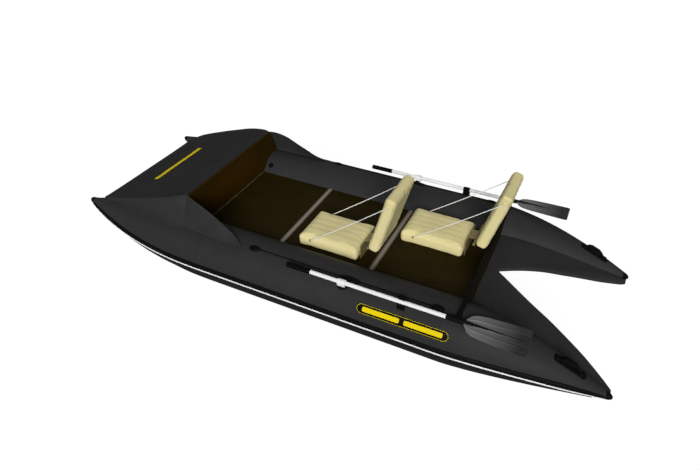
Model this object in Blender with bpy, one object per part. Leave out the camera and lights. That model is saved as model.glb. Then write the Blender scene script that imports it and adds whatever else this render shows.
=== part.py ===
"""Inflatable catamaran: two round side tubes, a raised bow, a board floor, two folding seats and two oars.

Metres, +Z up. +X points to the bow and +Y to port. The origin is on the ground, below the middle
of the boat, which stands on the flat soles of its two keels.
"""
import math

import bmesh
import bpy
from mathutils import Matrix, Vector

# Hull
LENGTH_OVERALL = 3.80
TUBE_RADIUS = 0.20
TUBE_SPACING = 1.10
KEEL_DEPTH = 0.04
BOW_TAPER_LENGTH = 1.14
BOW_RISE = 0.1065
STERN_TAPER_LENGTH = 0.968
STERN_DROP = 0.107
TIP_RADIUS = 0.0145
TIP_CAP_LENGTH = 0.04
TIP_END_RADIUS = 0.008
BOW_RADIUS_EXPONENT = 2.2
BOW_RISE_EXPONENT = 2.5
STERN_RADIUS_EXPONENT = 1.6
STERN_DROP_EXPONENT = 2.0
TUBE_SIDES = 32
BOW_STEPS = 10
STERN_STEPS = 9

# Clearance between pieces that touch, and the overrun of every cut
GAP = 0.0003
OVERRUN = 0.03

# Rub strake along the outer side of each tube
STRAKE_HALF_HEIGHT = 0.027
STRAKE_THICKNESS = 0.012
STRAKE_END_SETBACK = 0.05
STRAKE_PROFILE_SHARES = ((-1.0, 0.0), (-0.8, 0.75), (-0.2, 0.65), (0.3, 1.0), (0.8, 0.75), (1.0, 0.0))

# Keel under each tube
KEEL_SOLE_HALF_WIDTH = 0.03
KEEL_BOW_SHARE = 0.62
KEEL_ATTACH_DEG = 38.0
KEEL_BOW_ATTACH_DEG = 76.0
KEEL_BOW_DEPTH_SHARE = 0.05
KEEL_STERN_DEPTH_SHARE = 0.4
KEEL_CHINE_SHARE = 0.6
KEEL_TIP_SETBACK = 0.06

# Floor, its two joiners and the deck sheet below it
FLOOR_ABOVE_AXIS = 0.096
FLOOR_BOARD_THICKNESS = 0.012
FRONT_JOINER_X = 0.324
REAR_JOINER_X = -0.3515
JOINER_WIDTH = 0.036
JOINER_WEB = 0.004
JOINER_FLANGE = 0.002
DECK_SHEET_THICKNESS = 0.026

# Tail panels, aft of the transom, as shares of the run from the notch to the stern tips
NOTCH_X = -1.087
TAIL_BELOW_FLOOR = 0.003
TAIL_DROP = 0.208
TAIL_DROP_EXPONENT = 1.5
TAIL_TIP_INSET = 0.02
TAIL_STEP = 0.001
TAIL_EDGE_SHARES = ((0.0, 0.0), (0.18, 0.19), (0.33, 0.33), (0.48, 0.445), (0.63, 0.57), (0.78, 0.70),
                    (0.93, 0.87))

# Transom
TRANSOM_X = -1.0085
TRANSOM_THICKNESS = 0.025
TRANSOM_ABOVE_TUBES = 0.012
TRANSOM_EAR_REACH = 0.09
TRANSOM_CAP_WIDTH = 0.036
TRANSOM_CAP_THICKNESS = 0.014
TRANSOM_CAP_OVERHANG = 0.005
TRANSOM_CAP_BEVEL = 0.004

# Raised bow
WALL_X = 0.943
WALL_THICKNESS = 0.010
RIDGE_ABOVE_TUBES = 0.192
RIDGE_INSET = 0.032
RIDGE_LIP = 0.004
DECK_FRONT_SETBACK = 0.09
DECK_FRONT_RISE = 0.116
DECK_FRONT_THICKNESS = 0.036
DECK_FLARE = 0.068
DECK_EDGE_LIFT = 0.026
DECK_EDGE_SHARES = ((0.0, 0.0, 0.0, 0.0), (0.06, 0.41, 0.35, 0.3), (0.18, 0.82, 0.7, 0.05),
                    (0.29, 0.98, 0.92, -0.15), (0.41, 1.0, 0.95, -0.25), (0.53, 0.98, 1.0, -0.25),
                    (0.64, 0.90, 1.0, -0.2), (0.76, 0.75, 1.0, -0.1), (0.88, 0.5, 0.85, 0.0),
                    (1.0, -0.2, 0.2, 0.0))
DECK_CAMBER_SHARES = ((-1.0, 1.0), (-0.86, 0.4), (-0.5, 0.0), (0.0, 0.0), (0.5, 0.0), (0.86, 0.4), (1.0, 1.0))
BOW_CHAMBER_DROP = 0.036
SEAM_PROUD = 0.003
SEAM_DEG = 20.0
SEAM_BOW_FADE_SHARE = 0.92
SUNK_SHARE = 0.6
GUSSET_LENGTH = 0.484
GUSSET_FOOT_DEG = 14.0
GUSSET_AFT_SEAM_DEG = 24.0
GUSSET_AFT_FOOT_DEG = 18.0
GUSSET_LEVEL_SHARES = ((0.0, 1.0, 0.0), (0.22, 0.97, 0.1), (0.35, 0.78, 0.42), (0.53, 0.56, 0.55),
                       (0.72, 0.39, 0.7), (0.88, 0.18, 0.9), (1.0, 0.03, 1.0))

# Valves
VALVE_X = 0.895
VALVE_DEG = -43.0
VALVE_RADIUS = 0.021
VALVE_CAP_RADIUS = 0.016
VALVE_FLANGE_HEIGHT = 0.004
VALVE_HEIGHT = 0.012
VALVE_SIDES = 20

# Lifelines and their patches
ROPE_RADIUS = 0.0035
ROPE_DEG = 15.6
ROPE_STEP = 0.045
FRONT_PATCH_X = 0.373
MIDDLE_PATCH_X = -0.315
REAR_PATCH_X = -0.878
PATCH_LENGTH = 0.085
PATCH_WIDTH = 0.046
PATCH_HEIGHT = 0.0105
ROPE_LOBE_LENGTH = 0.145
PIN_LOBE_LENGTH = 0.085
PIN_LOBE_WIDTH = 0.072
PIN_LOBE_HEIGHT = 0.006
PIN_LOBE_DEG = 28.6
PATCH_SIDES = 20
PATCH_RING_SHARES = ((1.0, 0.12), (0.86, 0.42), (0.62, 0.86), (0.34, 1.0))

# Stern handles
HANDLE_TO_TIP = 0.256
HANDLE_LENGTH = 0.172
HANDLE_WIDTH = 0.036
HANDLE_THICKNESS = 0.009
HANDLE_LIFT = 0.026
HANDLE_PATH_SHARES = ((-0.5, 0.0), (-0.36, 0.0), (-0.27, 0.6), (-0.16, 1.0), (0.16, 1.0), (0.27, 0.6),
                      (0.36, 0.0), (0.5, 0.0))

# Oars, stowed along the tubes and hung on tilted rowlock pins
OAR_OFFSET = 0.113
OAR_ABOVE_TUBES = 0.008
OAR_TILT_DEG = 11.0
PIVOT_X = -0.290
GRIP_FRONT_X = 0.095
GRIP_LENGTH = 0.168
GRIP_RADIUS = 0.017
GRIP_RIBS = 7
GRIP_RIB_DEPTH = 0.0015
SHAFT_RADIUS = 0.013
SLEEVE_FRONT_X = -0.944
SLEEVE_LENGTH = 0.105
SLEEVE_RADIUS = 0.0155
SLEEVE_LIP_SHARE = 0.9
BLADE_END_X = -1.411
BLADE_HALF_WIDTH = 0.095
BLADE_THICKNESS = 0.007
BLADE_DEG = 6.0
BLADE_SPINE = 0.009
BLADE_RIB = 0.004
BLADE_NECK = 0.012
BLADE_OUTLINE_SHARES = ((0.0, 0.14), (0.03, 0.34), (0.08, 0.62), (0.16, 0.79), (0.30, 0.88), (0.6, 0.95),
                        (0.95, 1.0), (1.0, 0.93))
ROUND_SIDES = 16
COLLAR_LENGTH = 0.05
COLLAR_RADIUS = 0.019
PIN_RADIUS = 0.006
PIN_LENGTH = 0.011
PIN_SIDES = 16
BOSS_RADIUS = 0.017

# Oar clips, open towards the side the oar swings to
CLIP_X = -0.677
CLIP_LENGTH = 0.045
CLIP_WALL = 0.0125
CLIP_TOE = 0.024
CLIP_HOOK = 0.006
CLIP_HOOK_REACH = 0.012

# Seats
SEAT_LENGTH = 0.45
SEAT_WIDTH = 0.34
SEAT_THICKNESS = 0.099
SEAT_TO_TRANSOM = 0.146
SEAT_STAGGER = 0.61
FRONT_SEAT_TO_PORT_TUBE = 0.005
REAR_SEAT_TO_STARBOARD_TUBE = 0.020
BACK_LENGTH = 0.445
BACK_THICKNESS = 0.066
BACK_LEAN_DEG = 15.0
PUFFS = 6
CELLS_PER_PUFF = 4
CUSHION_CELLS_LONG = 9
CHANNEL_DEPTH = 0.004
CUSHION_WAIST = 0.004
CUSHION_BAND_SHARE = 0.62
CUSHION_EDGE_EXPONENT = 8.0
CUSHION_EDGE_ROUNDNESS = 0.45

# Seat hinges: pin axis behind and above the cushion's rear edge
HINGE_BACKSET = 0.055
HINGE_ABOVE_CUSHION = 0.010
HINGE_TO_BACK_END = 0.0265
HINGE_TO_BACK_FACE = 0.006
HINGE_WIDTH = 0.24
HINGE_LEAF = 0.004
HINGE_KNUCKLE_RADIUS = 0.009
HINGE_PIN_RADIUS = 0.004
HINGE_MIDDLE_KNUCKLE = 0.10
HINGE_FLAP_REACH = 0.045

# Seat side straps
STRAP_RADIUS = 0.002
STRAP_FRONT_SHARE = 0.55
STRAP_BACK_SHARE = 0.75
STRAP_LOW_SHARE = 0.68
STRAP_STEP = 0.045
STRAP_SAG = 0.006

# Places worked out from the sizes above
TUBE_Y = TUBE_SPACING / 2
TUBE_Z = KEEL_DEPTH + TUBE_RADIUS
TUBE_TOP = TUBE_Z + TUBE_RADIUS
FLOOR_HEIGHT = TUBE_Z + FLOOR_ABOVE_AXIS
TAIL_TOP_HEIGHT = FLOOR_HEIGHT - TAIL_BELOW_FLOOR
TRANSOM_TOP = TUBE_TOP + TRANSOM_ABOVE_TUBES
RIDGE_HEIGHT = TUBE_TOP + RIDGE_ABOVE_TUBES
DECK_FRONT_HEIGHT = TUBE_Z + DECK_FRONT_RISE
BOW_CHAMBER_BOTTOM = FLOOR_HEIGHT - BOW_CHAMBER_DROP
OAR_Z = TUBE_TOP + OAR_ABOVE_TUBES
SEAT_OUTER_REACH = TUBE_Y - TUBE_RADIUS - SEAT_WIDTH / 2
TIP_X = LENGTH_OVERALL / 2
BOW_TAPER_X = TIP_X - BOW_TAPER_LENGTH
STERN_TAPER_X = STERN_TAPER_LENGTH - TIP_X
TUBE_END_X = TIP_X - TIP_CAP_LENGTH
DECK_FRONT_X = TIP_X - DECK_FRONT_SETBACK
HANDLE_X = HANDLE_TO_TIP - TIP_X
BOARD_BOTTOM = FLOOR_HEIGHT - FLOOR_BOARD_THICKNESS
DECK_TOP = BOARD_BOTTOM - JOINER_FLANGE - 2 * GAP
TRANSOM_FRONT_X = TRANSOM_X + TRANSOM_THICKNESS / 2
TRANSOM_REAR_X = TRANSOM_X - TRANSOM_THICKNESS / 2
WALL_FRONT_X = WALL_X + WALL_THICKNESS
REAR_SEAT_X = TRANSOM_FRONT_X + SEAT_TO_TRANSOM
REAR_SEAT_Y = REAR_SEAT_TO_STARBOARD_TUBE - SEAT_OUTER_REACH
FRONT_SEAT_X = REAR_SEAT_X + SEAT_STAGGER
FRONT_SEAT_Y = SEAT_OUTER_REACH - FRONT_SEAT_TO_PORT_TUBE
OAR_Y = TUBE_Y + OAR_OFFSET
RIDGE_HALF_WIDTH = TUBE_Y - RIDGE_INSET
TRANSOM_HALF_WIDTH = TUBE_Y + TRANSOM_EAR_REACH
TAIL_TIP_HALF_WIDTH = TUBE_Y - TAIL_TIP_INSET
SIDES = (("port", 1), ("starboard", -1))


def clear_scene():
    """Remove every object, so that the script starts from an empty scene."""
    for old in list(bpy.data.objects):
        bpy.data.objects.remove(old, do_unlink=True)


def make_material(name, colour, roughness, metallic=0.0):
    """One Principled material with a plain colour."""
    material = bpy.data.materials.new(name)
    material.use_nodes = True
    shader = material.node_tree.nodes["Principled BSDF"]
    shader.inputs["Base Color"].default_value = (*colour, 1.0)
    shader.inputs["Roughness"].default_value = roughness
    shader.inputs["Metallic"].default_value = metallic
    return material


def add_piece(name, bm, look, sharp_deg=35.0):
    """Turn a bmesh into a named object with its own material and outward faces."""
    bmesh.ops.recalc_face_normals(bm, faces=bm.faces)
    if bm.calc_volume(signed=True) < 0:
        bmesh.ops.reverse_faces(bm, faces=bm.faces)
    mesh = bpy.data.meshes.new(name)
    bm.to_mesh(mesh)
    bm.free()
    mesh.shade_smooth()
    mesh.set_sharp_from_angle(angle=math.radians(sharp_deg))
    piece = bpy.data.objects.new(name, mesh)
    bpy.context.collection.objects.link(piece)
    colour, roughness, metallic = look
    piece.data.materials.append(make_material(name, colour, roughness, metallic))
    return piece


def as_cutter(piece):
    """Keep a piece as a guide for cuts only."""
    piece.hide_render = True
    piece.display_type = "WIRE"
    return piece


def boolean(piece, other, operation="DIFFERENCE"):
    """Cut or join one piece with another by an exact Boolean."""
    step = piece.modifiers.new(operation.title() + " " + other.name, "BOOLEAN")
    step.operation = operation
    step.solver = "EXACT"
    step.object = other


def hang_on(piece, pivot):
    """Give a moving piece a parent empty on its joint's axis, without moving the piece."""
    piece.parent = pivot
    piece.matrix_parent_inverse = pivot.matrix_world.inverted()


def make_pivot(name, place):
    """An empty on a joint's axis."""
    pivot = bpy.data.objects.new(name, None)
    pivot.location = place
    bpy.context.collection.objects.link(pivot)
    bpy.context.view_layer.update()
    return pivot


def loft(rings):
    """A closed solid through rings of equally many points, capped at both ends."""
    bm = bmesh.new()
    rows = [[bm.verts.new(point) for point in ring] for ring in rings]
    count = len(rows[0])
    for row, following in zip(rows, rows[1:]):
        for i in range(count):
            j = (i + 1) % count
            bm.faces.new((row[i], row[j], following[j], following[i]))
    bm.faces.new(rows[0])
    bm.faces.new(rows[-1])
    return bm


def prism(outline, start, end, place):
    """Extrude a flat outline; place(a, b, c) turns outline coordinates and depth into a point."""
    return loft([[place(a, b, depth) for a, b in outline] for depth in (start, end)])


def box(low, high):
    """A box between two corners."""
    outline = ((low[1], low[2]), (high[1], low[2]), (high[1], high[2]), (low[1], high[2]))
    return prism(outline, low[0], high[0], lambda y, z, x: (x, y, z))


def frame_point(origin, along, across, up):
    """A function that places local coordinates in the frame given by an origin and three directions."""
    def place(a, b, c):
        return origin + along * a + across * b + up * c
    return place


def turned(profile, origin, axis, sides):
    """A solid of revolution: profile holds (distance along the axis, radius) from one end to the other."""
    across = axis.orthogonal().normalized()
    beside = axis.cross(across)
    rings = []
    for height, radius in profile:
        ring = []
        for i in range(sides):
            turn = math.tau * i / sides
            spoke = across * math.cos(turn) + beside * math.sin(turn)
            ring.append(origin + axis * height + spoke * radius)
        rings.append(ring)
    return loft(rings)


def cord(name, points, radius, look):
    """A round cord through the given points, with filled ends."""
    curve = bpy.data.curves.new(name, "CURVE")
    curve.dimensions = "3D"
    curve.bevel_depth = radius
    curve.bevel_resolution = 2
    curve.use_fill_caps = True
    spline = curve.splines.new("POLY")
    spline.points.add(len(points) - 1)
    for point, place in zip(spline.points, points):
        point.co = (*place, 1.0)
    piece = bpy.data.objects.new(name, curve)
    bpy.context.collection.objects.link(piece)
    colour, roughness, metallic = look
    curve.materials.append(make_material(name, colour, roughness, metallic))
    return piece


def blend_table(table, share):
    """Read a table of (share, value, ...) rows at one share, in straight runs between rows."""
    for left, right in zip(table, table[1:]):
        if share <= right[0]:
            weight = (share - left[0]) / (right[0] - left[0])
            return [a + (b - a) * weight for a, b in zip(left[1:], right[1:])]
    return list(table[-1][1:])


def lerp(start, end, share):
    """The value at a share of the way from start to end."""
    return start + (end - start) * share


# Shape of a side tube: its radius and centre height at any station along the boat


def taper_share(x):
    """How far a station is along the bow taper (positive) or the stern taper (negative)."""
    if x > BOW_TAPER_X:
        return (x - BOW_TAPER_X) / BOW_TAPER_LENGTH
    if x < STERN_TAPER_X:
        return (x - STERN_TAPER_X) / STERN_TAPER_LENGTH
    return 0.0


def tube_radius(x):
    """Radius of the tube at a station."""
    share = taper_share(x)
    exponent = BOW_RADIUS_EXPONENT if share > 0 else STERN_RADIUS_EXPONENT
    return TIP_RADIUS + (TUBE_RADIUS - TIP_RADIUS) * (1 - abs(share) ** exponent)


def tube_height(x):
    """Height of the tube's centre at a station."""
    share = taper_share(x)
    if share > 0:
        return TUBE_Z + BOW_RISE * share ** BOW_RISE_EXPONENT
    return TUBE_Z - STERN_DROP * abs(share) ** STERN_DROP_EXPONENT


def tube_stations(start, end):
    """Stations from stern to bow between two ends, shared by the tubes, strakes and keels."""
    stern = [STERN_TAPER_X - STERN_TAPER_LENGTH * math.sin(math.pi / 2 * i / STERN_STEPS)
             for i in range(STERN_STEPS, -1, -1)]
    bow = [BOW_TAPER_X + BOW_TAPER_LENGTH * math.sin(math.pi / 2 * i / BOW_STEPS)
           for i in range(BOW_STEPS + 1)]
    inside = [x for x in stern + [lerp(STERN_TAPER_X, BOW_TAPER_X, 0.5)] + bow
              if start + OVERRUN / 4 < x < end - OVERRUN / 4]
    return [start] + inside + [end]


def tube_point(x, degrees_outward, distance, side):
    """A point at a distance from the tube's centre line, at an angle outward from straight up."""
    turn = math.radians(degrees_outward)
    return Vector((x, side * (TUBE_Y + distance * math.sin(turn)), tube_height(x) + distance * math.cos(turn)))


def tube_ring(x, offset, side):
    """One ring of the tube's skin, moved out by an offset."""
    radius = tube_radius(x) + offset
    return [tube_point(x, 360.0 * i / TUBE_SIDES, radius, side) for i in range(TUBE_SIDES)]


# Looks: colour, roughness and metallic value

TUBE_LOOK = ((0.042, 0.043, 0.047), 0.55, 0.0)
SKIN_LOOK = ((0.035, 0.036, 0.040), 0.60, 0.0)
BLACK_LOOK = ((0.008, 0.008, 0.009), 0.45, 0.0)
RUBBER_LOOK = ((0.012, 0.012, 0.013), 0.60, 0.0)
WOOD_LOOK = ((0.045, 0.026, 0.004), 0.50, 0.0)
FLOOR_LOOK = ((0.022, 0.016, 0.003), 0.55, 0.0)
ALLOY_LOOK = ((0.42, 0.39, 0.35), 0.35, 1.0)
SEAT_LOOK = ((0.60, 0.53, 0.34), 0.65, 0.0)
WHITE_LOOK = ((0.80, 0.80, 0.80), 0.35, 0.0)
BLADE_LOOK = ((0.16, 0.16, 0.17), 0.40, 0.0)
STRAP_LOOK = ((0.85, 0.85, 0.85), 0.60, 0.0)


def make_tubes(side_name, side):
    """One side tube with its two tip caps; returns the cutter for whatever seats on the tube."""
    stations = tube_stations(-TUBE_END_X, TUBE_END_X)
    add_piece(side_name + "_side_tube", loft([tube_ring(x, 0.0, side) for x in stations]), TUBE_LOOK)
    cutter = add_piece(side_name + "_tube_cutter", loft([tube_ring(x, GAP, side) for x in stations]), TUBE_LOOK)
    as_cutter(cutter)
    for end_name, end in (("bow", 1), ("stern", -1)):
        start = end * (TUBE_END_X + GAP)
        rings = []
        for share in (0.0, 0.55, 0.85, 1.0):
            x = lerp(start, end * TIP_X, share)
            base = tube_radius(start)
            radius = lerp(base, TIP_END_RADIUS, share ** 2)
            rings.append([Vector((x, side * (TUBE_Y + radius * math.sin(math.tau * i / TUBE_SIDES)),
                                  tube_height(x) + radius * math.cos(math.tau * i / TUBE_SIDES)))
                          for i in range(0, TUBE_SIDES, 2)])
        add_piece(side_name + "_" + end_name + "_cap", loft(rings), BLACK_LOOK)
    return cutter


def make_strake(side_name, side, cutter):
    """Rubbing band along the outer side of the tube, following its bow and stern curves."""
    rings = []
    for x in tube_stations(-TUBE_END_X + STRAKE_END_SETBACK, TUBE_END_X - STRAKE_END_SETBACK):
        radius = tube_radius(x)
        half = min(STRAKE_HALF_HEIGHT, radius * 0.8)
        thickness = STRAKE_THICKNESS * half / STRAKE_HALF_HEIGHT
        outline = [(share * half, math.sqrt(radius ** 2 - (share * half) ** 2) + proud * thickness)
                   for share, proud in STRAKE_PROFILE_SHARES]
        outline.append((half * 0.9, radius * 0.5))
        outline.append((-half * 0.9, radius * 0.5))
        rings.append([Vector((x, side * (TUBE_Y + reach), tube_height(x) + rise)) for rise, reach in outline])
    strake = add_piece(side_name + "_rub_strake", loft(rings), RUBBER_LOOK)
    boolean(strake, cutter)


def keel_section(x):
    """Depth of the keel below the tube and the angle where it meets the tube, at a station."""
    share = taper_share(x)
    if share < 0:
        return lerp(KEEL_DEPTH, KEEL_DEPTH * KEEL_STERN_DEPTH_SHARE, -share), KEEL_ATTACH_DEG
    fade = (share / KEEL_BOW_SHARE) ** 2
    return (lerp(KEEL_DEPTH, KEEL_DEPTH * KEEL_BOW_DEPTH_SHARE, fade),
            lerp(KEEL_ATTACH_DEG, KEEL_BOW_ATTACH_DEG, fade))


def make_keel(side_name, side, cutter):
    """Keel body with a flat sole, faired up under the tube."""
    start = -TIP_X + TIP_CAP_LENGTH + KEEL_TIP_SETBACK
    end = BOW_TAPER_X + BOW_TAPER_LENGTH * KEEL_BOW_SHARE
    rings = []
    for x in tube_stations(start, end):
        radius = tube_radius(x)
        depth, attach_deg = keel_section(x)
        bottom = tube_height(x) - radius - depth
        turn = math.radians(attach_deg)
        reach = radius * math.cos(turn)
        attach = tube_height(x) - radius * math.sin(turn)
        sole = min(KEEL_SOLE_HALF_WIDTH * radius / TUBE_RADIUS, reach / 2)
        chine = lerp(sole, reach, KEEL_CHINE_SHARE)
        chine_z = lerp(bottom, attach, KEEL_CHINE_SHARE * KEEL_CHINE_SHARE)
        outline = ((reach, attach), (chine, chine_z), (sole, bottom), (-sole, bottom), (-chine, chine_z),
                   (-reach, attach), (0.0, tube_height(x)))
        rings.append([Vector((x, side * (TUBE_Y + y), z)) for y, z in outline])
    keel = add_piece(side_name + "_keel", loft(rings), SKIN_LOOK)
    boolean(keel, cutter)


def make_floor(cutters):
    """Three floor boards, edge to edge in two H-shaped joiners, between the tubes."""
    web = JOINER_WEB / 2 + GAP
    spans = (("front_floor_board", FRONT_JOINER_X + web, WALL_FRONT_X),
             ("middle_floor_board", REAR_JOINER_X + web, FRONT_JOINER_X - web),
             ("rear_floor_board", TRANSOM_FRONT_X + GAP, REAR_JOINER_X - web))
    for name, start, end in spans:
        board = add_piece(name, box((start, -TUBE_Y, BOARD_BOTTOM), (end, TUBE_Y, FLOOR_HEIGHT)), FLOOR_LOOK)
        for cutter in cutters:
            boolean(board, cutter)
    low = BOARD_BOTTOM - GAP - JOINER_FLANGE
    high = FLOOR_HEIGHT + GAP + JOINER_FLANGE
    half = JOINER_WIDTH / 2
    stem = JOINER_WEB / 2
    outline = ((-half, low), (half, low), (half, low + JOINER_FLANGE), (stem, low + JOINER_FLANGE),
               (stem, high - JOINER_FLANGE), (half, high - JOINER_FLANGE), (half, high), (-half, high),
               (-half, high - JOINER_FLANGE), (-stem, high - JOINER_FLANGE), (-stem, low + JOINER_FLANGE),
               (-half, low + JOINER_FLANGE))
    for name, x in (("front_floor_joiner", FRONT_JOINER_X), ("rear_floor_joiner", REAR_JOINER_X)):
        bm = prism(outline, -TUBE_Y, TUBE_Y, lambda a, b, depth, x=x: (x + a, depth, b))
        joiner = add_piece(name, bm, ALLOY_LOOK)
        for cutter in cutters:
            boolean(joiner, cutter)


def tail_top(x):
    """Height of the deck sheet's top: level under the floor, then falling to the stern tips."""
    if x > TRANSOM_REAR_X - GAP - TAIL_STEP / 2:
        return DECK_TOP
    share = max(0.0, (NOTCH_X - x) / (NOTCH_X + TIP_X))
    return TAIL_TOP_HEIGHT - TAIL_DROP * share ** TAIL_DROP_EXPONENT


def make_deck_sheet(cutters):
    """Sheet between the hulls: roof of the tunnel, ending in a swallow tail aft of the transom."""
    step_x = TRANSOM_REAR_X - GAP
    front = [(WALL_FRONT_X, 0.0), (step_x, 0.0), (step_x - TAIL_STEP, 0.0)]
    tail = [(lerp(NOTCH_X, -TIP_X, share), width * TAIL_TIP_HALF_WIDTH) for share, width in TAIL_EDGE_SHARES]
    bm = bmesh.new()
    for side in (1, -1):
        rows = []
        for x, inner in front + tail:
            top = tail_top(x)
            level = min(top, TAIL_TOP_HEIGHT) - DECK_SHEET_THICKNESS
            bottom = level if x < step_x else DECK_TOP - DECK_SHEET_THICKNESS
            outer = max(TUBE_Y, inner + TIP_RADIUS)
            rows.append([bm.verts.new((x, side * y, z))
                         for y, z in ((inner, bottom), (outer, bottom), (outer, top), (inner, top))])
        for row, following in zip(rows, rows[1:]):
            for i in range(3):
                bm.faces.new((row[i], row[i + 1], following[i + 1], following[i]))
            if following[0].co.y != 0.0:
                bm.faces.new((row[3], row[0], following[0], following[3]))
        bm.faces.new(rows[0])
        bm.faces.new(rows[-1])
    bmesh.ops.remove_doubles(bm, verts=bm.verts, dist=GAP / 10)
    sheet = add_piece("tunnel_deck", bm, SKIN_LOOK)
    for cutter in cutters:
        boolean(sheet, cutter)


def make_transom(cutters):
    """Stern board between the tubes, with ears over their tops, and its black edge cap."""
    foot = DECK_TOP + GAP
    outline = ((-TUBE_Y + TUBE_RADIUS / 2, foot), (TUBE_Y - TUBE_RADIUS / 2, foot),
               (TRANSOM_HALF_WIDTH, TRANSOM_TOP - TUBE_RADIUS / 4), (TRANSOM_HALF_WIDTH, TRANSOM_TOP),
               (-TRANSOM_HALF_WIDTH, TRANSOM_TOP), (-TRANSOM_HALF_WIDTH, TRANSOM_TOP - TUBE_RADIUS / 4))
    bm = prism(outline, TRANSOM_REAR_X, TRANSOM_FRONT_X, lambda y, z, x: (x, y, z))
    board = add_piece("transom_board", bm, WOOD_LOOK)
    for cutter in cutters:
        boolean(board, cutter)
    half = TRANSOM_CAP_WIDTH / 2
    low = (TRANSOM_X - half, -TRANSOM_HALF_WIDTH - TRANSOM_CAP_OVERHANG, TRANSOM_TOP + GAP)
    high = (TRANSOM_X + half, TRANSOM_HALF_WIDTH + TRANSOM_CAP_OVERHANG, TRANSOM_TOP + TRANSOM_CAP_THICKNESS)
    cap = add_piece("transom_cap", box(low, high), BLACK_LOOK)
    bevel = cap.modifiers.new("Rounded edges", "BEVEL")
    bevel.width = TRANSOM_CAP_BEVEL
    bevel.segments = 2


def make_bow_chamber(cutters):
    """Raised bow: a deck rising aft to a ridge, side facets down to the tubes and a floor above the tunnel."""
    rings = []
    for share, flare, edge_lift, middle_lift in DECK_EDGE_SHARES:
        x = lerp(WALL_FRONT_X + GAP, DECK_FRONT_X, share)
        straight = lerp(RIDGE_HEIGHT, DECK_FRONT_HEIGHT, share)
        width = RIDGE_HALF_WIDTH + DECK_FLARE * flare
        edge = straight + DECK_EDGE_LIFT * edge_lift
        middle = straight + DECK_EDGE_LIFT * middle_lift
        bottom = lerp(BOW_CHAMBER_BOTTOM, DECK_FRONT_HEIGHT - DECK_FRONT_THICKNESS, share)
        seam_deg = SEAM_DEG * (1 - share ** 2 / SEAM_BOW_FADE_SHARE)
        seam = tube_point(x, seam_deg, tube_radius(x) + SEAM_PROUD, 1)
        sunk = tube_point(x, seam_deg, tube_radius(x) * SUNK_SHARE, 1)
        top = [(width * across, lerp(middle, edge, weight)) for across, weight in DECK_CAMBER_SHARES]
        skirt = [(seam.y, seam.z), (sunk.y, sunk.z), (TUBE_Y, bottom)]
        outline = top + skirt + [(-y, z) for y, z in reversed(skirt)]
        rings.append([Vector((x, y, z)) for y, z in outline])
    chamber = add_piece("bow_chamber", loft(rings), TUBE_LOOK, 25.0)
    for cutter in cutters:
        boolean(chamber, cutter)


def make_gusset(side_name, side, cutter):
    """Thin fairing from the ridge corner down to the tube's top, aft of the bow wall."""
    rings = []
    base_height = TUBE_Z + TUBE_RADIUS
    for share, lift, lean in GUSSET_LEVEL_SHARES:
        x = WALL_FRONT_X - GUSSET_LENGTH * share
        seam_deg = lerp(SEAM_DEG, GUSSET_AFT_SEAM_DEG, share)
        foot_deg = lerp(GUSSET_FOOT_DEG + SEAM_PROUD / TUBE_RADIUS, GUSSET_AFT_FOOT_DEG, share)
        foot = tube_point(x, foot_deg, TUBE_RADIUS + SEAM_PROUD, 1)
        seam = tube_point(x, seam_deg, TUBE_RADIUS + SEAM_PROUD, 1)
        edge_z = lerp(max(foot.z, seam.z), RIDGE_HEIGHT - base_height + foot.z - SEAM_PROUD, lift)
        edge_y = lerp(RIDGE_HALF_WIDTH, (foot.y + seam.y) / 2, lean)
        edge_in = edge_y - SEAM_PROUD
        edge_out = edge_y + SEAM_PROUD
        deep = TUBE_RADIUS * 0.8
        sunk_out = tube_point(x, seam_deg, deep, 1)
        sunk_in = tube_point(x, foot_deg, deep, 1)
        outline = ((edge_in, edge_z), (edge_out, edge_z), (seam.y, seam.z), (sunk_out.y, sunk_out.z),
                   (sunk_in.y, sunk_in.z), (foot.y, foot.z))
        rings.append([Vector((x, side * y, z)) for y, z in outline])
    gusset = add_piece(side_name + "_bow_gusset", loft(rings), TUBE_LOOK, 20.0)
    boolean(gusset, cutter)


def make_bow_wall(cutters):
    """Board that closes the raised bow towards the cockpit, standing on the front floor board."""
    foot = FLOOR_HEIGHT + GAP
    top = RIDGE_HEIGHT - RIDGE_LIP
    shoulder = tube_point(WALL_X, GUSSET_FOOT_DEG - 1.0, TUBE_RADIUS * 0.97, 1)
    top_half = RIDGE_HALF_WIDTH - 2 * SEAM_PROUD
    outline = ((-TUBE_Y + TUBE_RADIUS / 2, foot), (TUBE_Y - TUBE_RADIUS / 2, foot), (shoulder.y, shoulder.z),
               (top_half, top), (-top_half, top), (-shoulder.y, shoulder.z))
    bm = prism(outline, WALL_X, WALL_FRONT_X, lambda y, z, x: (x, y, z))
    wall = add_piece("bow_wall", bm, WOOD_LOOK)
    for cutter in cutters:
        boolean(wall, cutter)


def make_valve(side_name, side, cutter):
    """Inflation valve with its screw cap, on the inner upper side of the tube near the bow wall."""
    origin = tube_point(VALVE_X, VALVE_DEG, TUBE_RADIUS, side)
    axis = (origin - Vector((VALVE_X, side * TUBE_Y, TUBE_Z))).normalized()
    profile = ((-VALVE_HEIGHT, VALVE_RADIUS), (VALVE_FLANGE_HEIGHT, VALVE_RADIUS),
               (VALVE_FLANGE_HEIGHT * 1.3, VALVE_CAP_RADIUS), (VALVE_HEIGHT * 0.85, VALVE_CAP_RADIUS),
               (VALVE_HEIGHT, VALVE_CAP_RADIUS * 0.8))
    valve = add_piece(side_name + "_valve", turned(profile, origin, axis, VALVE_SIDES), BLACK_LOOK)
    boolean(valve, cutter)


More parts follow.
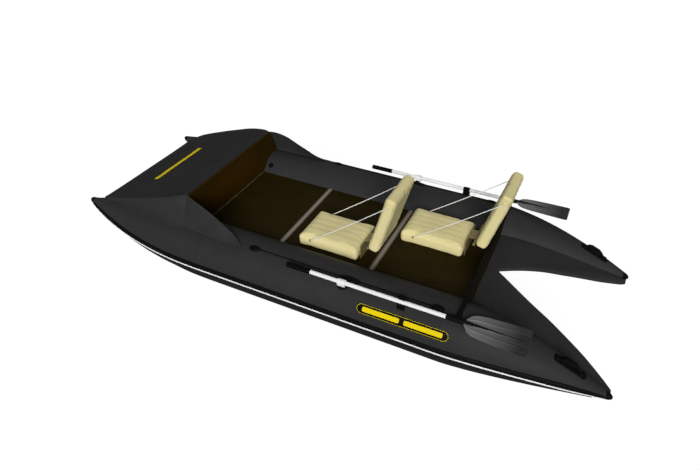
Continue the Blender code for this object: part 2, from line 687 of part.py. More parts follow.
def rope_path(start, end, side):
    """Points of the lifeline's axis between two stations: it lies on the tube's skin."""
    count = round(abs(end - start) / ROPE_STEP)
    stations = [lerp(start, end, i / count) for i in range(count + 1)]
    return [tube_point(x, ROPE_DEG, tube_radius(x) + ROPE_RADIUS + 2 * GAP, side) for x in stations]


def patch_mesh(x_middle, degrees_outward, length, width, height, side):
    """A domed oval pad on the tube's upper side, its base sunk for the cut that seats it."""
    rings = []
    for scale, lift in ((1.0, -1.0),) + PATCH_RING_SHARES:
        ring = []
        for i in range(PATCH_SIDES):
            turn = math.tau * i / PATCH_SIDES
            x = x_middle + length / 2 * scale * math.cos(turn)
            skin = tube_radius(x)
            arc = width / 2 * scale * math.sin(turn) / skin
            ring.append(tube_point(x, degrees_outward + math.degrees(arc), skin + height * lift, side))
        rings.append(ring)
    return loft(rings)


def make_lifeline(side_name, side, cutter):
    """Lifeline with its end patches, and the middle patch that carries the rowlock."""
    cord(side_name + "_lifeline", rope_path(FRONT_PATCH_X - GAP, REAR_PATCH_X + GAP, side), ROPE_RADIUS,
         BLACK_LOOK)
    rings = []
    for point in rope_path(REAR_PATCH_X, FRONT_PATCH_X, side):
        turns = [math.tau * i / ROUND_SIDES for i in range(ROUND_SIDES)]
        rings.append([point + Vector((0.0, math.cos(turn), math.sin(turn))) * (ROPE_RADIUS + GAP)
                      for turn in turns])
    channel = as_cutter(add_piece(side_name + "_rope_cutter", loft(rings), BLACK_LOOK))
    for name, x in (("front", FRONT_PATCH_X), ("rear", REAR_PATCH_X)):
        patch = add_piece(side_name + "_" + name + "_lifeline_patch",
                          patch_mesh(x, ROPE_DEG, PATCH_LENGTH, PATCH_WIDTH, PATCH_HEIGHT, side), BLACK_LOOK)
        boolean(patch, cutter)
        boolean(patch, channel)
    return channel


def oar_axes(side):
    """Directions at the rowlock: the pin's axis, and the way the stowed oar leaves its clip."""
    tilt = math.radians(OAR_TILT_DEG)
    pin = Vector((0.0, side * math.sin(tilt), math.cos(tilt)))
    away = Vector((0.0, side * math.cos(tilt), -math.sin(tilt)))
    return pin, away


def make_rowlock(side_name, side, cutter, channel):
    """Middle patch in two lobes: one holds the lifeline, the other a boss bored for the rowlock pin."""
    pin, away = oar_axes(side)
    pivot = Vector((PIVOT_X, side * OAR_Y, OAR_Z))
    base = add_piece(side_name + "_rowlock_base",
                     patch_mesh(MIDDLE_PATCH_X, ROPE_DEG, ROPE_LOBE_LENGTH, PATCH_WIDTH, PATCH_HEIGHT, side),
                     BLACK_LOOK)
    lobe = add_piece(side_name + "_pin_lobe_cutter",
                     patch_mesh(PIVOT_X, PIN_LOBE_DEG, PIN_LOBE_LENGTH, PIN_LOBE_WIDTH, PIN_LOBE_HEIGHT, side),
                     BLACK_LOOK)
    as_cutter(lobe)
    boolean(base, lobe, "UNION")
    top = -(COLLAR_RADIUS + 2 * GAP)
    deep = top - BOSS_RADIUS * 2
    boss = add_piece(side_name + "_boss_cutter",
                     turned(((deep, BOSS_RADIUS), (top, BOSS_RADIUS)), pivot, pin, ROUND_SIDES), BLACK_LOOK)
    as_cutter(boss)
    boolean(base, boss, "UNION")
    boolean(base, cutter)
    bore_depth = COLLAR_RADIUS + PIN_LENGTH + 2 * GAP
    bore = add_piece(side_name + "_pin_cutter",
                     turned(((-bore_depth, PIN_RADIUS + GAP), (OVERRUN, PIN_RADIUS + GAP)), pivot, pin, PIN_SIDES),
                     BLACK_LOOK)
    as_cutter(bore)
    boolean(base, bore)
    boolean(base, channel)


def make_collar(side_name, side, pivot):
    """Collar round the oar's shaft, flat below, with the pin that turns in the rowlock."""
    pin, away = oar_axes(side)
    origin = Vector((PIVOT_X, side * OAR_Y, OAR_Z))
    outline = [(COLLAR_RADIUS, -COLLAR_RADIUS)]
    outline += [(COLLAR_RADIUS * math.cos(math.pi * i / 10), COLLAR_RADIUS * math.sin(math.pi * i / 10))
                for i in range(11)]
    outline += [(-COLLAR_RADIUS, -COLLAR_RADIUS)]
    x_axis = Vector((1.0, 0.0, 0.0))
    place = frame_point(origin, away, pin, x_axis)
    half = COLLAR_LENGTH / 2
    collar = add_piece(side_name + "_oar_collar",
                       prism(outline, -half, half, lambda a, b, depth: place(a, b, depth)), BLACK_LOOK)
    reach = COLLAR_RADIUS + PIN_LENGTH
    stud = add_piece(side_name + "_stud_cutter",
                     turned(((-reach, PIN_RADIUS), (-SHAFT_RADIUS - GAP, PIN_RADIUS)), origin, pin, PIN_SIDES),
                     BLACK_LOOK)
    as_cutter(stud)
    boolean(collar, stud, "UNION")
    bore = add_piece(side_name + "_shaft_cutter",
                     turned(((-COLLAR_LENGTH, SHAFT_RADIUS + GAP), (COLLAR_LENGTH, SHAFT_RADIUS + GAP)), origin,
                            x_axis, ROUND_SIDES), BLACK_LOOK)
    as_cutter(bore)
    boolean(collar, bore)
    hang_on(collar, pivot)


def make_oar(side_name, side, pivot):
    """Oar in four pieces: ribbed grip, white shaft, black sleeve and broad ribbed blade."""
    axis = Vector((-1.0, 0.0, 0.0))
    start = Vector((GRIP_FRONT_X, side * OAR_Y, OAR_Z))
    profile = [(0.0, GRIP_RADIUS * 0.75), (GRIP_RADIUS * 0.3, GRIP_RADIUS)]
    rib = (GRIP_LENGTH - GRIP_RADIUS) / GRIP_RIBS
    for i in range(GRIP_RIBS):
        at = GRIP_RADIUS * 0.6 + rib * i
        profile += [(at, GRIP_RADIUS), (at + rib * 0.5, GRIP_RADIUS - GRIP_RIB_DEPTH)]
    profile += [(GRIP_LENGTH - GRIP_RADIUS * 0.3, GRIP_RADIUS), (GRIP_LENGTH, GRIP_RADIUS * 0.8)]
    pieces = [add_piece(side_name + "_oar_grip", turned(profile, start, axis, ROUND_SIDES), BLACK_LOOK)]
    shaft_start = GRIP_LENGTH + GAP
    shaft_end = GRIP_FRONT_X - SLEEVE_FRONT_X - GAP
    pieces.append(add_piece(side_name + "_oar_shaft",
                            turned(((shaft_start, SHAFT_RADIUS), (shaft_end, SHAFT_RADIUS)), start, axis,
                                   ROUND_SIDES), WHITE_LOOK))
    sleeve_start = GRIP_FRONT_X - SLEEVE_FRONT_X
    sleeve_end = sleeve_start + SLEEVE_LENGTH
    lip = SLEEVE_RADIUS * SLEEVE_LIP_SHARE
    pieces.append(add_piece(side_name + "_oar_sleeve",
                            turned(((sleeve_start, lip), (sleeve_start + SLEEVE_RADIUS / 4, SLEEVE_RADIUS),
                                    (sleeve_end - SLEEVE_RADIUS, SLEEVE_RADIUS), (sleeve_end, lip)), start, axis,
                                   ROUND_SIDES), BLACK_LOOK))
    pieces.append(make_blade(side_name, side, GRIP_FRONT_X - sleeve_end - GAP))
    for piece in pieces:
        hang_on(piece, pivot)


def make_blade(side_name, side, root_x):
    """Oar blade: a plate with a middle spine and a rib to each side, widening from its neck."""
    turn = math.radians(BLADE_DEG)
    across = Vector((0.0, side * math.cos(turn), -math.sin(turn)))
    up = Vector((0.0, side * math.sin(turn), math.cos(turn)))
    rings = []
    for share, width_share in BLADE_OUTLINE_SHARES:
        middle = Vector((lerp(root_x, BLADE_END_X, share), side * OAR_Y, OAR_Z))
        half = BLADE_HALF_WIDTH * width_share
        fade = 1 - share
        spine = BLADE_THICKNESS / 2 + BLADE_SPINE * fade
        rib = BLADE_THICKNESS / 2 + BLADE_RIB * min(1.0, fade * width_share * 2)
        plate = BLADE_THICKNESS / 2
        upper = ((-1.0, plate * 0.5), (-0.62, plate), (-0.5, rib), (-0.38, plate), (-0.14, plate), (0.0, spine),
                 (0.14, plate), (0.38, plate), (0.5, rib), (0.62, plate), (1.0, plate * 0.5))
        lower = [(a, -b) for a, b in reversed(upper)]
        rings.append([middle + across * (a * half) + up * b for a, b in upper + tuple(lower)])
    return add_piece(side_name + "_oar_blade", loft(rings), BLADE_LOOK)


def make_clip(side_name, side, cutter):
    """Clip on the tube that the stowed oar's shaft rests in, open outward."""
    pin, away = oar_axes(side)
    origin = Vector((CLIP_X, side * OAR_Y, OAR_Z))
    place = frame_point(origin, away, pin, Vector((1.0, 0.0, 0.0)))
    seat = SHAFT_RADIUS + GAP
    back = -seat - CLIP_WALL
    hook_low = SHAFT_RADIUS + 2 * GAP
    outline = ((back, -TUBE_RADIUS / 3), (CLIP_TOE, -TUBE_RADIUS / 3), (CLIP_TOE, -seat), (-seat, -seat),
               (-seat, hook_low), (-seat + CLIP_HOOK_REACH, hook_low),
               (-seat + CLIP_HOOK_REACH, hook_low + CLIP_HOOK), (back, hook_low + CLIP_HOOK))
    half = CLIP_LENGTH / 2
    clip = add_piece(side_name + "_oar_clip", prism(outline, -half, half, lambda a, b, depth: place(a, b, depth)),
                     BLACK_LOOK)
    boolean(clip, cutter)


def make_handle(side_name, side, cutter):
    """Moulded carry handle along the crest of the stern cone."""
    rings = []
    for share, lift in HANDLE_PATH_SHARES:
        x = HANDLE_X + HANDLE_LENGTH * share
        radius = tube_radius(x)
        low = radius - HANDLE_THICKNESS / 2 + (HANDLE_LIFT + HANDLE_THICKNESS / 2) * lift
        high = radius + HANDLE_THICKNESS + HANDLE_LIFT * lift
        half = HANDLE_WIDTH / 2
        edge = HANDLE_THICKNESS / 3
        rings.append([Vector((x, side * (TUBE_Y + y), tube_height(x) + z))
                      for y, z in ((-half + edge, low), (half - edge, low), (half, low + edge), (half, high - edge),
                                   (half - edge, high), (-half + edge, high), (-half, high - edge),
                                   (-half, low + edge))])
    handle = add_piece(side_name + "_stern_handle", loft(rings), BLACK_LOOK)
    boolean(handle, cutter)


def seam_half_width(length_share):
    """Half width of a cushion at its side seam, which pulls in between the corners."""
    return SEAT_WIDTH / 2 - CUSHION_WAIST * (1 - length_share ** 2)


def cushion_mesh(length, thickness, place):
    """Boxed cushion with a crowned top and bottom, and sewn channels along its length on both."""
    columns = PUFFS * CELLS_PER_PUFF
    band = thickness / 2 * CUSHION_BAND_SHARE
    bm = bmesh.new()
    top = {}
    bottom = {}
    for i in range(CUSHION_CELLS_LONG + 1):
        u = -math.cos(math.pi * i / CUSHION_CELLS_LONG)
        for j in range(columns + 1):
            v = 2 * j / columns - 1
            swell = ((1 - abs(u) ** CUSHION_EDGE_EXPONENT) * (1 - abs(v) ** CUSHION_EDGE_EXPONENT))
            rise = band + (thickness / 2 - band) * max(0.0, swell) ** CUSHION_EDGE_ROUNDNESS
            inside = 0 < i < CUSHION_CELLS_LONG and 0 < j < columns
            if inside and j % CELLS_PER_PUFF == 0:
                rise -= CHANNEL_DEPTH
            point = (length / 2 * u, seam_half_width(u) * v)
            top[i, j] = bm.verts.new(place(*point, thickness / 2 + rise))
            bottom[i, j] = bm.verts.new(place(*point, thickness / 2 - rise))
    for i in range(CUSHION_CELLS_LONG):
        for j in range(columns):
            corners = ((i, j), (i + 1, j), (i + 1, j + 1), (i, j + 1))
            for grid in (top, bottom):
                bm.faces.new([grid[corner] for corner in corners])
    rim = [(i, 0) for i in range(CUSHION_CELLS_LONG)]
    rim += [(CUSHION_CELLS_LONG, j) for j in range(columns)]
    rim += [(i, columns) for i in range(CUSHION_CELLS_LONG, 0, -1)]
    rim += [(0, j) for j in range(columns, 0, -1)]
    for here, following in zip(rim, rim[1:] + rim[:1]):
        bm.faces.new((top[here], top[following], bottom[following], bottom[here]))
    return bm


def make_seat(name, rear_x, middle_y):
    """Folding seat: cushion on the floor, backrest on a hinge behind it, and a strap at each side."""
    x_axis = Vector((1.0, 0.0, 0.0))
    y_axis = Vector((0.0, 1.0, 0.0))
    z_axis = Vector((0.0, 0.0, 1.0))
    cushion_z = FLOOR_HEIGHT + GAP
    origin = Vector((rear_x + SEAT_LENGTH / 2, middle_y, cushion_z))
    add_piece(name + "_seat_cushion",
              cushion_mesh(SEAT_LENGTH, SEAT_THICKNESS, frame_point(origin, x_axis, y_axis, z_axis)),
              SEAT_LOOK, 60.0)

    axis_point = Vector((rear_x - HINGE_BACKSET, middle_y, cushion_z + SEAT_THICKNESS + HINGE_ABOVE_CUSHION))
    pivot = make_pivot(name + "_backrest_axis", axis_point)
    lean = math.radians(BACK_LEAN_DEG)
    rise = Vector((-math.sin(lean), 0.0, math.cos(lean)))
    facing = Vector((math.cos(lean), 0.0, math.sin(lean)))
    back_face = -HINGE_TO_BACK_FACE
    back_middle = axis_point + rise * (HINGE_TO_BACK_END + BACK_LENGTH / 2) + facing * (back_face - BACK_THICKNESS)
    back = add_piece(name + "_backrest",
                     cushion_mesh(BACK_LENGTH, BACK_THICKNESS,
                                  frame_point(back_middle, rise, y_axis, facing)), SEAT_LOOK, 60.0)
    hang_on(back, pivot)
    make_hinge(name, axis_point, rear_x, pivot, rise, facing)

    for strap_name, side in SIDES:
        low = origin + x_axis * (SEAT_LENGTH / 2 * STRAP_FRONT_SHARE) + z_axis * (SEAT_THICKNESS * STRAP_LOW_SHARE)
        low.y = middle_y + side * (seam_half_width(STRAP_FRONT_SHARE) + GAP + STRAP_RADIUS)
        high = back_middle + rise * (BACK_LENGTH / 2 * STRAP_BACK_SHARE) + facing * (BACK_THICKNESS / 2)
        high.y = middle_y + side * (seam_half_width(STRAP_BACK_SHARE) + GAP + STRAP_RADIUS)
        count = round((high - low).length / STRAP_STEP)
        points = []
        for i in range(count + 1):
            share = i / count
            point = low.lerp(high, share)
            point.z -= STRAP_SAG * math.sin(math.pi * share)
            points.append(point)
        cord(name + "_seat_" + strap_name + "_strap", points, STRAP_RADIUS, STRAP_LOOK)


def make_hinge(name, axis_point, rear_x, pivot, rise, facing):
    """Seat hinge: a leaf behind the cushion that carries the pin, and a leaf under the backrest."""
    y_axis = Vector((0.0, 1.0, 0.0))
    half = HINGE_WIDTH / 2
    knuckle_half = HINGE_MIDDLE_KNUCKLE / 2
    leaf_front = rear_x - GAP
    leaf_low = FLOOR_HEIGHT + GAP
    leaf_top = axis_point.z - HINGE_LEAF
    base = add_piece(name + "_hinge_base",
                     box((leaf_front - HINGE_LEAF, axis_point.y - half, leaf_low),
                         (leaf_front, axis_point.y + half, leaf_top)), ALLOY_LOOK)
    web = as_cutter(add_piece(name + "_base_web_cutter",
                              box((axis_point.x, axis_point.y - knuckle_half, leaf_top - HINGE_LEAF),
                                  (leaf_front - HINGE_LEAF / 2, axis_point.y + knuckle_half, leaf_top - GAP)),
                              ALLOY_LOOK))
    knuckle = as_cutter(add_piece(name + "_base_knuckle_cutter",
                                  turned(((-knuckle_half, HINGE_KNUCKLE_RADIUS),
                                          (knuckle_half, HINGE_KNUCKLE_RADIUS)), axis_point, y_axis, ROUND_SIDES),
                                  ALLOY_LOOK))
    rod = as_cutter(add_piece(name + "_pin_rod_cutter",
                              turned(((-half, HINGE_PIN_RADIUS), (half, HINGE_PIN_RADIUS)), axis_point, y_axis,
                                     ROUND_SIDES), ALLOY_LOOK))
    for piece in (web, knuckle, rod):
        boolean(base, piece, "UNION")

    place = frame_point(axis_point, rise, y_axis, facing)
    plate_low = HINGE_TO_BACK_END - GAP - HINGE_LEAF
    plate_high = HINGE_TO_BACK_END - GAP
    plate_rear = -HINGE_TO_BACK_FACE - HINGE_FLAP_REACH
    plate_front = HINGE_KNUCKLE_RADIUS / 3
    plate = ((plate_low, plate_rear), (plate_high, plate_rear), (plate_high, plate_front), (plate_low, plate_front))
    flap = add_piece(name + "_hinge_flap",
                     prism(plate, -half, half, lambda a, b, depth: place(a, depth, b)), ALLOY_LOOK)
    for side in (1, -1):
        inner = side * (knuckle_half + GAP)
        outer = side * half
        arm_outline = ((0.0, -HINGE_LEAF / 2), (plate_low + GAP, -HINGE_LEAF / 2), (plate_low + GAP, HINGE_LEAF / 2),
                       (0.0, HINGE_LEAF / 2))
        tag = "_a" if side > 0 else "_b"
        arm = as_cutter(add_piece(name + "_flap_arm_cutter" + tag,
                                  prism(arm_outline, inner, outer, lambda a, b, depth: place(a, depth, b)),
                                  ALLOY_LOOK))
        ring = as_cutter(add_piece(name + "_flap_knuckle_cutter" + tag,
                                   turned(((inner, HINGE_KNUCKLE_RADIUS), (outer, HINGE_KNUCKLE_RADIUS)),
                                          axis_point, y_axis, ROUND_SIDES), ALLOY_LOOK))
        boolean(flap, arm, "UNION")
        boolean(flap, ring, "UNION")
    bore = as_cutter(add_piece(name + "_flap_bore_cutter",
                               turned(((-half - OVERRUN, HINGE_PIN_RADIUS + GAP),
                                       (half + OVERRUN, HINGE_PIN_RADIUS + GAP)), axis_point, y_axis, ROUND_SIDES),
                               ALLOY_LOOK))
    boolean(flap, bore)
    hang_on(flap, pivot)


def main():
    """Build the whole boat."""
    clear_scene()
    cutters = []
    for side_name, side in SIDES:
        cutter = make_tubes(side_name, side)
        cutters.append(cutter)
        make_strake(side_name, side, cutter)
        make_keel(side_name, side, cutter)
        make_gusset(side_name, side, cutter)
        make_valve(side_name, side, cutter)
        channel = make_lifeline(side_name, side, cutter)
        make_rowlock(side_name, side, cutter, channel)
        make_clip(side_name, side, cutter)
        make_handle(side_name, side, cutter)
        pivot = make_pivot(side_name + "_rowlock_axis", Vector((PIVOT_X, side * OAR_Y, OAR_Z)))
        make_collar(side_name, side, pivot)
        make_oar(side_name, side, pivot)
    make_floor(cutters)
    make_deck_sheet(cutters)
    make_transom(cutters)
    make_bow_chamber(cutters)
    make_bow_wall(cutters)
    make_seat("front", FRONT_SEAT_X, FRONT_SEAT_Y)
    make_seat("rear", REAR_SEAT_X, REAR_SEAT_Y)


main()
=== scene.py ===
"""Looks of the inflatable catamaran: camera, light, materials, fabric hulls, seats and straps on the CAD frame."""
import math

import bmesh
import bpy
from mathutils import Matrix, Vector


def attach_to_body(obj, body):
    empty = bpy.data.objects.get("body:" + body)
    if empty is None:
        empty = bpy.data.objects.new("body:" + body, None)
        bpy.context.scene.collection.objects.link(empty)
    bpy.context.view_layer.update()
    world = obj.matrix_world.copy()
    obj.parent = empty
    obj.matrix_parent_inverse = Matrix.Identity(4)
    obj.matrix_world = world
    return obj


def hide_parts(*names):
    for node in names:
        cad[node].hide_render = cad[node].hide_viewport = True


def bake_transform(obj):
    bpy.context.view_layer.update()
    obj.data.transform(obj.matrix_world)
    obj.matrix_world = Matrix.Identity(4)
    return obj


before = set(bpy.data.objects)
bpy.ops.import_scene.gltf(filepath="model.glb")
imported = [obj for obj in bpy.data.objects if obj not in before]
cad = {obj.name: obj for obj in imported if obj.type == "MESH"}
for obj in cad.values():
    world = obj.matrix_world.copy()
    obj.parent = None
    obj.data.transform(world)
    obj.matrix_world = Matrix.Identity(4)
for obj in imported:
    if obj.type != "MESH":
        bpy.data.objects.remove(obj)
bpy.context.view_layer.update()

# Camera and light
CAMERA_PLACE = (-1.4183, 2.882, 2.7208)
CAMERA_YAW_DEG = 64.187
CAMERA_PITCH_DEG = 37.56
CAMERA_LENS = 28.655
SENSOR_WIDTH = 36.0
KEY_FROM = (-0.27, 0.83, 0.47)
KEY_STRENGTH = 2.95
KEY_SOFTNESS_DEG = 34.0
FILL_FROM = (0.22, -0.90, 0.36)
FILL_STRENGTH = 0.9
FILL_SOFTNESS_DEG = 60.0
SKY_STRENGTH = 0.07
FLOOR_SIZE = 60.0
FLOOR_TONE = 0.16
GLOSS_SHARE = 0.10
FLOOR_GLOW = 0.93

# Hull sizes, the same as in the CAD source
TIP_X = 1.90
TIP_CAP_LENGTH = 0.04
TUBE_RADIUS = 0.20
TUBE_Y = 0.55
TUBE_Z = 0.24
KEEL_DEPTH = 0.04
BOW_TAPER_LENGTH = 1.14
BOW_RISE = 0.1065
STERN_TAPER_LENGTH = 0.968
STERN_DROP = 0.107
TIP_RADIUS = 0.0145
BOW_TAPER_X = TIP_X - BOW_TAPER_LENGTH
STERN_TAPER_X = STERN_TAPER_LENGTH - TIP_X
TUBE_END_X = TIP_X - TIP_CAP_LENGTH
SKIN_INSET = 0.0005
GAP = 0.0008

WALL_X = 0.943
WALL_FRONT_X = 0.953
RIDGE_HEIGHT = 0.632
RIDGE_HALF_WIDTH = 0.518
DECK_FRONT_X = 1.81
DECK_FRONT_HEIGHT = 0.356
DECK_FRONT_THICKNESS = 0.036
DECK_FLARE = 0.068
DECK_EDGE_LIFT = 0.026
DECK_EDGE_SHARES = ((0.0, 0.0, 0.0, 0.0), (0.06, 0.41, 0.35, 0.3), (0.18, 0.82, 0.7, 0.05),
                    (0.29, 0.98, 0.92, -0.15), (0.41, 1.0, 0.95, -0.25), (0.53, 0.98, 1.0, -0.25),
                    (0.64, 0.90, 1.0, -0.2), (0.76, 0.75, 1.0, -0.1), (0.88, 0.5, 0.85, 0.0),
                    (1.0, -0.2, 0.2, 0.0))
DECK_CAMBER_SHARES = ((0.0, 0.0), (0.5, 0.0), (0.86, 0.4), (1.0, 1.0))
BOW_CHAMBER_BOTTOM = 0.300
SEAM_PROUD = 0.003
SEAM_DEG = 20.0
SEAM_BOW_FADE_SHARE = 0.92
GUSSET_LENGTH = 0.484
GUSSET_FOOT_DEG = 14.0
GUSSET_SUNK = 0.002
GUSSET_AFT_SEAM_DEG = 24.0
GUSSET_AFT_FOOT_DEG = 18.0
GUSSET_EDGE = ((0.0, 0.518, 0.632), (0.1, 0.534, 0.627), (0.2, 0.545, 0.615), (0.3, 0.551, 0.599),
               (0.4, 0.554, 0.577), (0.5, 0.557, 0.552), (0.6, 0.563, 0.527), (0.7, 0.569, 0.501),
               (0.8, 0.576, 0.475), (0.9, 0.591, 0.453), (1.0, 0.619, 0.4315))

FLOOR_HEIGHT = 0.336
DECK_TOP = 0.3214
DECK_SHEET_THICKNESS = 0.026
TRANSOM_REAR_X = -1.021
TRANSOM_X = -1.0085
TRANSOM_CAP_HALF = 0.645
CAP_FOOT = 0.4523
NOTCH_X = -1.087
TAIL_TOP_HEIGHT = 0.333
TAIL_DROP = 0.208
TAIL_TIP_HALF_WIDTH = 0.53
TAIL_EDGE_SHARES = ((0.0, 0.0), (0.18, 0.19), (0.33, 0.33), (0.48, 0.445), (0.63, 0.57), (0.78, 0.70),
                    (0.93, 0.86), (0.985, 0.93))

KEEL_SOLE_HALF_WIDTH = 0.03
KEEL_BOW_SHARE = 0.62
KEEL_ATTACH_DEG = 38.0
KEEL_BOW_ATTACH_DEG = 76.0
KEEL_BOW_DEPTH_SHARE = 0.05
KEEL_STERN_DEPTH_SHARE = 0.4
KEEL_TIP_SETBACK = 0.06

ROPE_RADIUS = 0.0035
ROPE_DEG = 15.6
FRONT_PATCH_X = 0.373
REAR_PATCH_X = -0.878

OAR_Y = 0.663
OAR_Z = 0.448
BLADE_DEG = 6.0
SPINE_FRONT_X = -1.047
SPINE_REAR_X = -1.385
HANDLE_X = -1.644
HANDLE_PAD_LENGTH = 0.190
HANDLE_PAD_WIDTH = 0.058

SEAT_LENGTH = 0.45
SEAT_WIDTH = 0.34
SEAT_THICKNESS = 0.099
SEATS = (("front", -0.24, 0.175), ("rear", -0.85, -0.160))
BACK_LENGTH = 0.445
BACK_THICKNESS = 0.066
BACK_LEAN_DEG = 15.0
PUFFS = 6
CHANNEL_DEPTH = 0.0007
CHANNEL_WIDTH = 0.009
EDGE_DROP = 0.014
CUSHION_WAIST = 0.004
HINGE_BACKSET = 0.055
HINGE_ABOVE_CUSHION = 0.010
HINGE_TO_BACK_END = 0.0265
HINGE_TO_BACK_FACE = 0.006
STRAP_FRONT_SHARE = 0.55
STRAP_BACK_SHARE = 0.75
STRAP_LOW_SHARE = 0.68
STRAP_SAG = 0.006
STRAP_OFFSET = 0.0023
SIDES = (("port", 1), ("starboard", -1))


def lerp(start, end, share):
    """The value at a share of the way from start to end."""
    return start + (end - start) * share


def clamp(value, low, high):
    """The value, kept between two limits."""
    return min(max(value, low), high)


# The camera stands where the photograph was taken from

camera = bpy.data.cameras.new("camera")
camera.lens = CAMERA_LENS
camera.sensor_width = SENSOR_WIDTH
camera.sensor_fit = "HORIZONTAL"
camera_object = bpy.data.objects.new("camera", camera)
bpy.context.scene.collection.objects.link(camera_object)
yaw = math.radians(CAMERA_YAW_DEG)
pitch = math.radians(CAMERA_PITCH_DEG)
looking = Vector((math.cos(pitch) * math.cos(yaw), -math.cos(pitch) * math.sin(yaw), -math.sin(pitch)))
camera_object.location = CAMERA_PLACE
camera_object.rotation_euler = looking.to_track_quat("-Z", "Y").to_euler()
bpy.context.scene.camera = camera_object
bpy.context.scene.view_settings.view_transform = "Standard"


# Materials

class Paint:
    """A Principled material and the few node recipes that all of the finishes here are mixed from."""

    def __init__(self, name, colour, roughness, metallic=0.0, slot=None, uv=False, gloss=0.07):
        self.material = bpy.data.materials.new(name)
        self.material.use_nodes = True
        self.tree = self.material.node_tree
        self.shader = self.tree.nodes["Principled BSDF"]
        self.shader.inputs["Base Color"].default_value = (*colour, 1.0)
        self.shader.inputs["Roughness"].default_value = roughness
        self.shader.inputs["Metallic"].default_value = metallic
        self.shader.inputs["Specular IOR Level"].default_value = gloss
        self.colour = colour
        self.colour_socket = None
        self.height_socket = None
        self.slot = slot
        if uv:
            node = self.add("ShaderNodeUVMap")
            node.uv_map = "metres"
            self.place = node.outputs["UV"]
        else:
            self.place = self.add("ShaderNodeTexCoord").outputs["Object"]
        self.solid = self.add("ShaderNodeTexCoord").outputs["Object"]

    def add(self, kind, **values):
        """A new node with some of its settings."""
        node = self.tree.nodes.new(kind)
        for key, value in values.items():
            setattr(node, key, value)
        return node

    def link(self, source, target):
        """Join an output to an input, or set a plain value."""
        if isinstance(source, (int, float, tuple)):
            target.default_value = source
        else:
            self.tree.links.new(source, target)

    def math(self, operation, a, b=0.0, clamped=False):
        """A math node's output."""
        node = self.add("ShaderNodeMath", operation=operation, use_clamp=clamped)
        self.link(a, node.inputs[0])
        self.link(b, node.inputs[1])
        return node.outputs[0]

    def stretched(self, scale, source=None):
        """Coordinates scaled by a different amount each way."""
        node = self.add("ShaderNodeMapping")
        node.inputs["Scale"].default_value = scale
        self.link(source or self.solid, node.inputs["Vector"])
        return node.outputs["Vector"]

    def noise(self, scale, detail=3.0, rough=0.55, vector=None):
        """Noise from 0 to 1, centred near one half."""
        node = self.add("ShaderNodeTexNoise")
        node.inputs["Scale"].default_value = scale
        node.inputs["Detail"].default_value = detail
        node.inputs["Roughness"].default_value = rough
        self.link(vector or self.solid, node.inputs["Vector"])
        return node.outputs["Fac"]

    def bands(self, period, axis, vector=None, sharp=1.0):
        """Even ridges across one axis, from 0 to 1, with a period in metres."""
        split = self.add("ShaderNodeSeparateXYZ")
        self.link(vector or self.place, split.inputs[0])
        turn = self.math("MULTIPLY", split.outputs[axis], math.tau / period)
        wave = self.math("SINE", turn)
        half = self.math("MULTIPLY_ADD", wave, 0.5)
        half.node.inputs[2].default_value = 0.5
        return self.math("POWER", half, sharp) if sharp != 1.0 else half

    def weave(self, period, vector=None):
        """Over-and-under threads: two crossed sets of ridges."""
        first = self.bands(period, 0, vector)
        second = self.bands(period, 1, vector)
        return self.math("MULTIPLY", first, second)

    def span(self, source, low, high, from_low=0.0, from_high=1.0):
        """Map a value's range to another, clamped."""
        node = self.add("ShaderNodeMapRange")
        node.clamp = True
        for index, value in enumerate((source, from_low, from_high, low, high)):
            self.link(value, node.inputs[index])
        return node.outputs[0]

    def tint(self, factor, colour, blend="MIX"):
        """Lay a colour over the base colour by a factor."""
        node = self.add("ShaderNodeMix", data_type="RGBA", blend_type=blend)
        self.link(factor, node.inputs["Factor"])
        colours = [socket for socket in node.inputs if socket.type == "RGBA"]
        self.link(self.colour_socket or (*self.colour, 1.0), colours[0])
        self.link((*colour, 1.0), colours[1])
        self.colour_socket = [socket for socket in node.outputs if socket.type == "RGBA"][0]
        self.link(self.colour_socket, self.shader.inputs["Base Color"])

    def rough(self, source, low, high):
        """Let the roughness follow a texture."""
        self.link(self.span(source, low, high), self.shader.inputs["Roughness"])

    def bump(self, source, strength, distance):
        """Add relief; calls stack."""
        node = self.add("ShaderNodeBump")
        node.inputs["Strength"].default_value = strength
        node.inputs["Distance"].default_value = distance
        self.link(source, node.inputs["Height"])
        if self.height_socket:
            self.link(self.height_socket, node.inputs["Normal"])
        self.height_socket = node.outputs["Normal"]
        self.link(self.height_socket, self.shader.inputs["Normal"])

    def attribute(self, name):
        """A number stored on the mesh."""
        return self.add("ShaderNodeAttribute", attribute_name=name).outputs["Fac"]


def hull_paint(name, colour, uv=True, mottled=0.35):
    """Coated hull fabric: a faint weave under a matt skin, cloudy tone, and a few scuffs."""
    paint = Paint(name, colour, 0.55, slot="hull_fabric", uv=uv, gloss=0.06)
    lighter = tuple(c * 1.28 + 0.001 for c in colour)
    darker = tuple(c * 0.74 for c in colour)
    paint.tint(paint.math("MULTIPLY", paint.span(paint.noise(2.3, 4.0), 0.0, 1.0, 0.42, 0.7), mottled), lighter)
    paint.tint(paint.math("MULTIPLY", paint.span(paint.noise(6.0, 5.0), 1.0, 0.0, 0.3, 0.5), mottled), darker)
    streaks = paint.noise(14.0, 6.0, 0.6, paint.stretched((0.35, 2.0, 2.0)))
    paint.tint(paint.span(streaks, 0.0, 0.10, 0.66, 0.80), tuple(c * 2.2 for c in colour))
    paint.rough(paint.noise(9.0, 4.0), 0.46, 0.62)
    if uv:
        paint.bump(paint.weave(0.0024), 0.10, 0.0004)
    paint.bump(paint.noise(620.0, 2.0), 0.10, 0.0004)
    paint.bump(paint.noise(5.0, 3.0), 0.10, 0.004)
    return paint


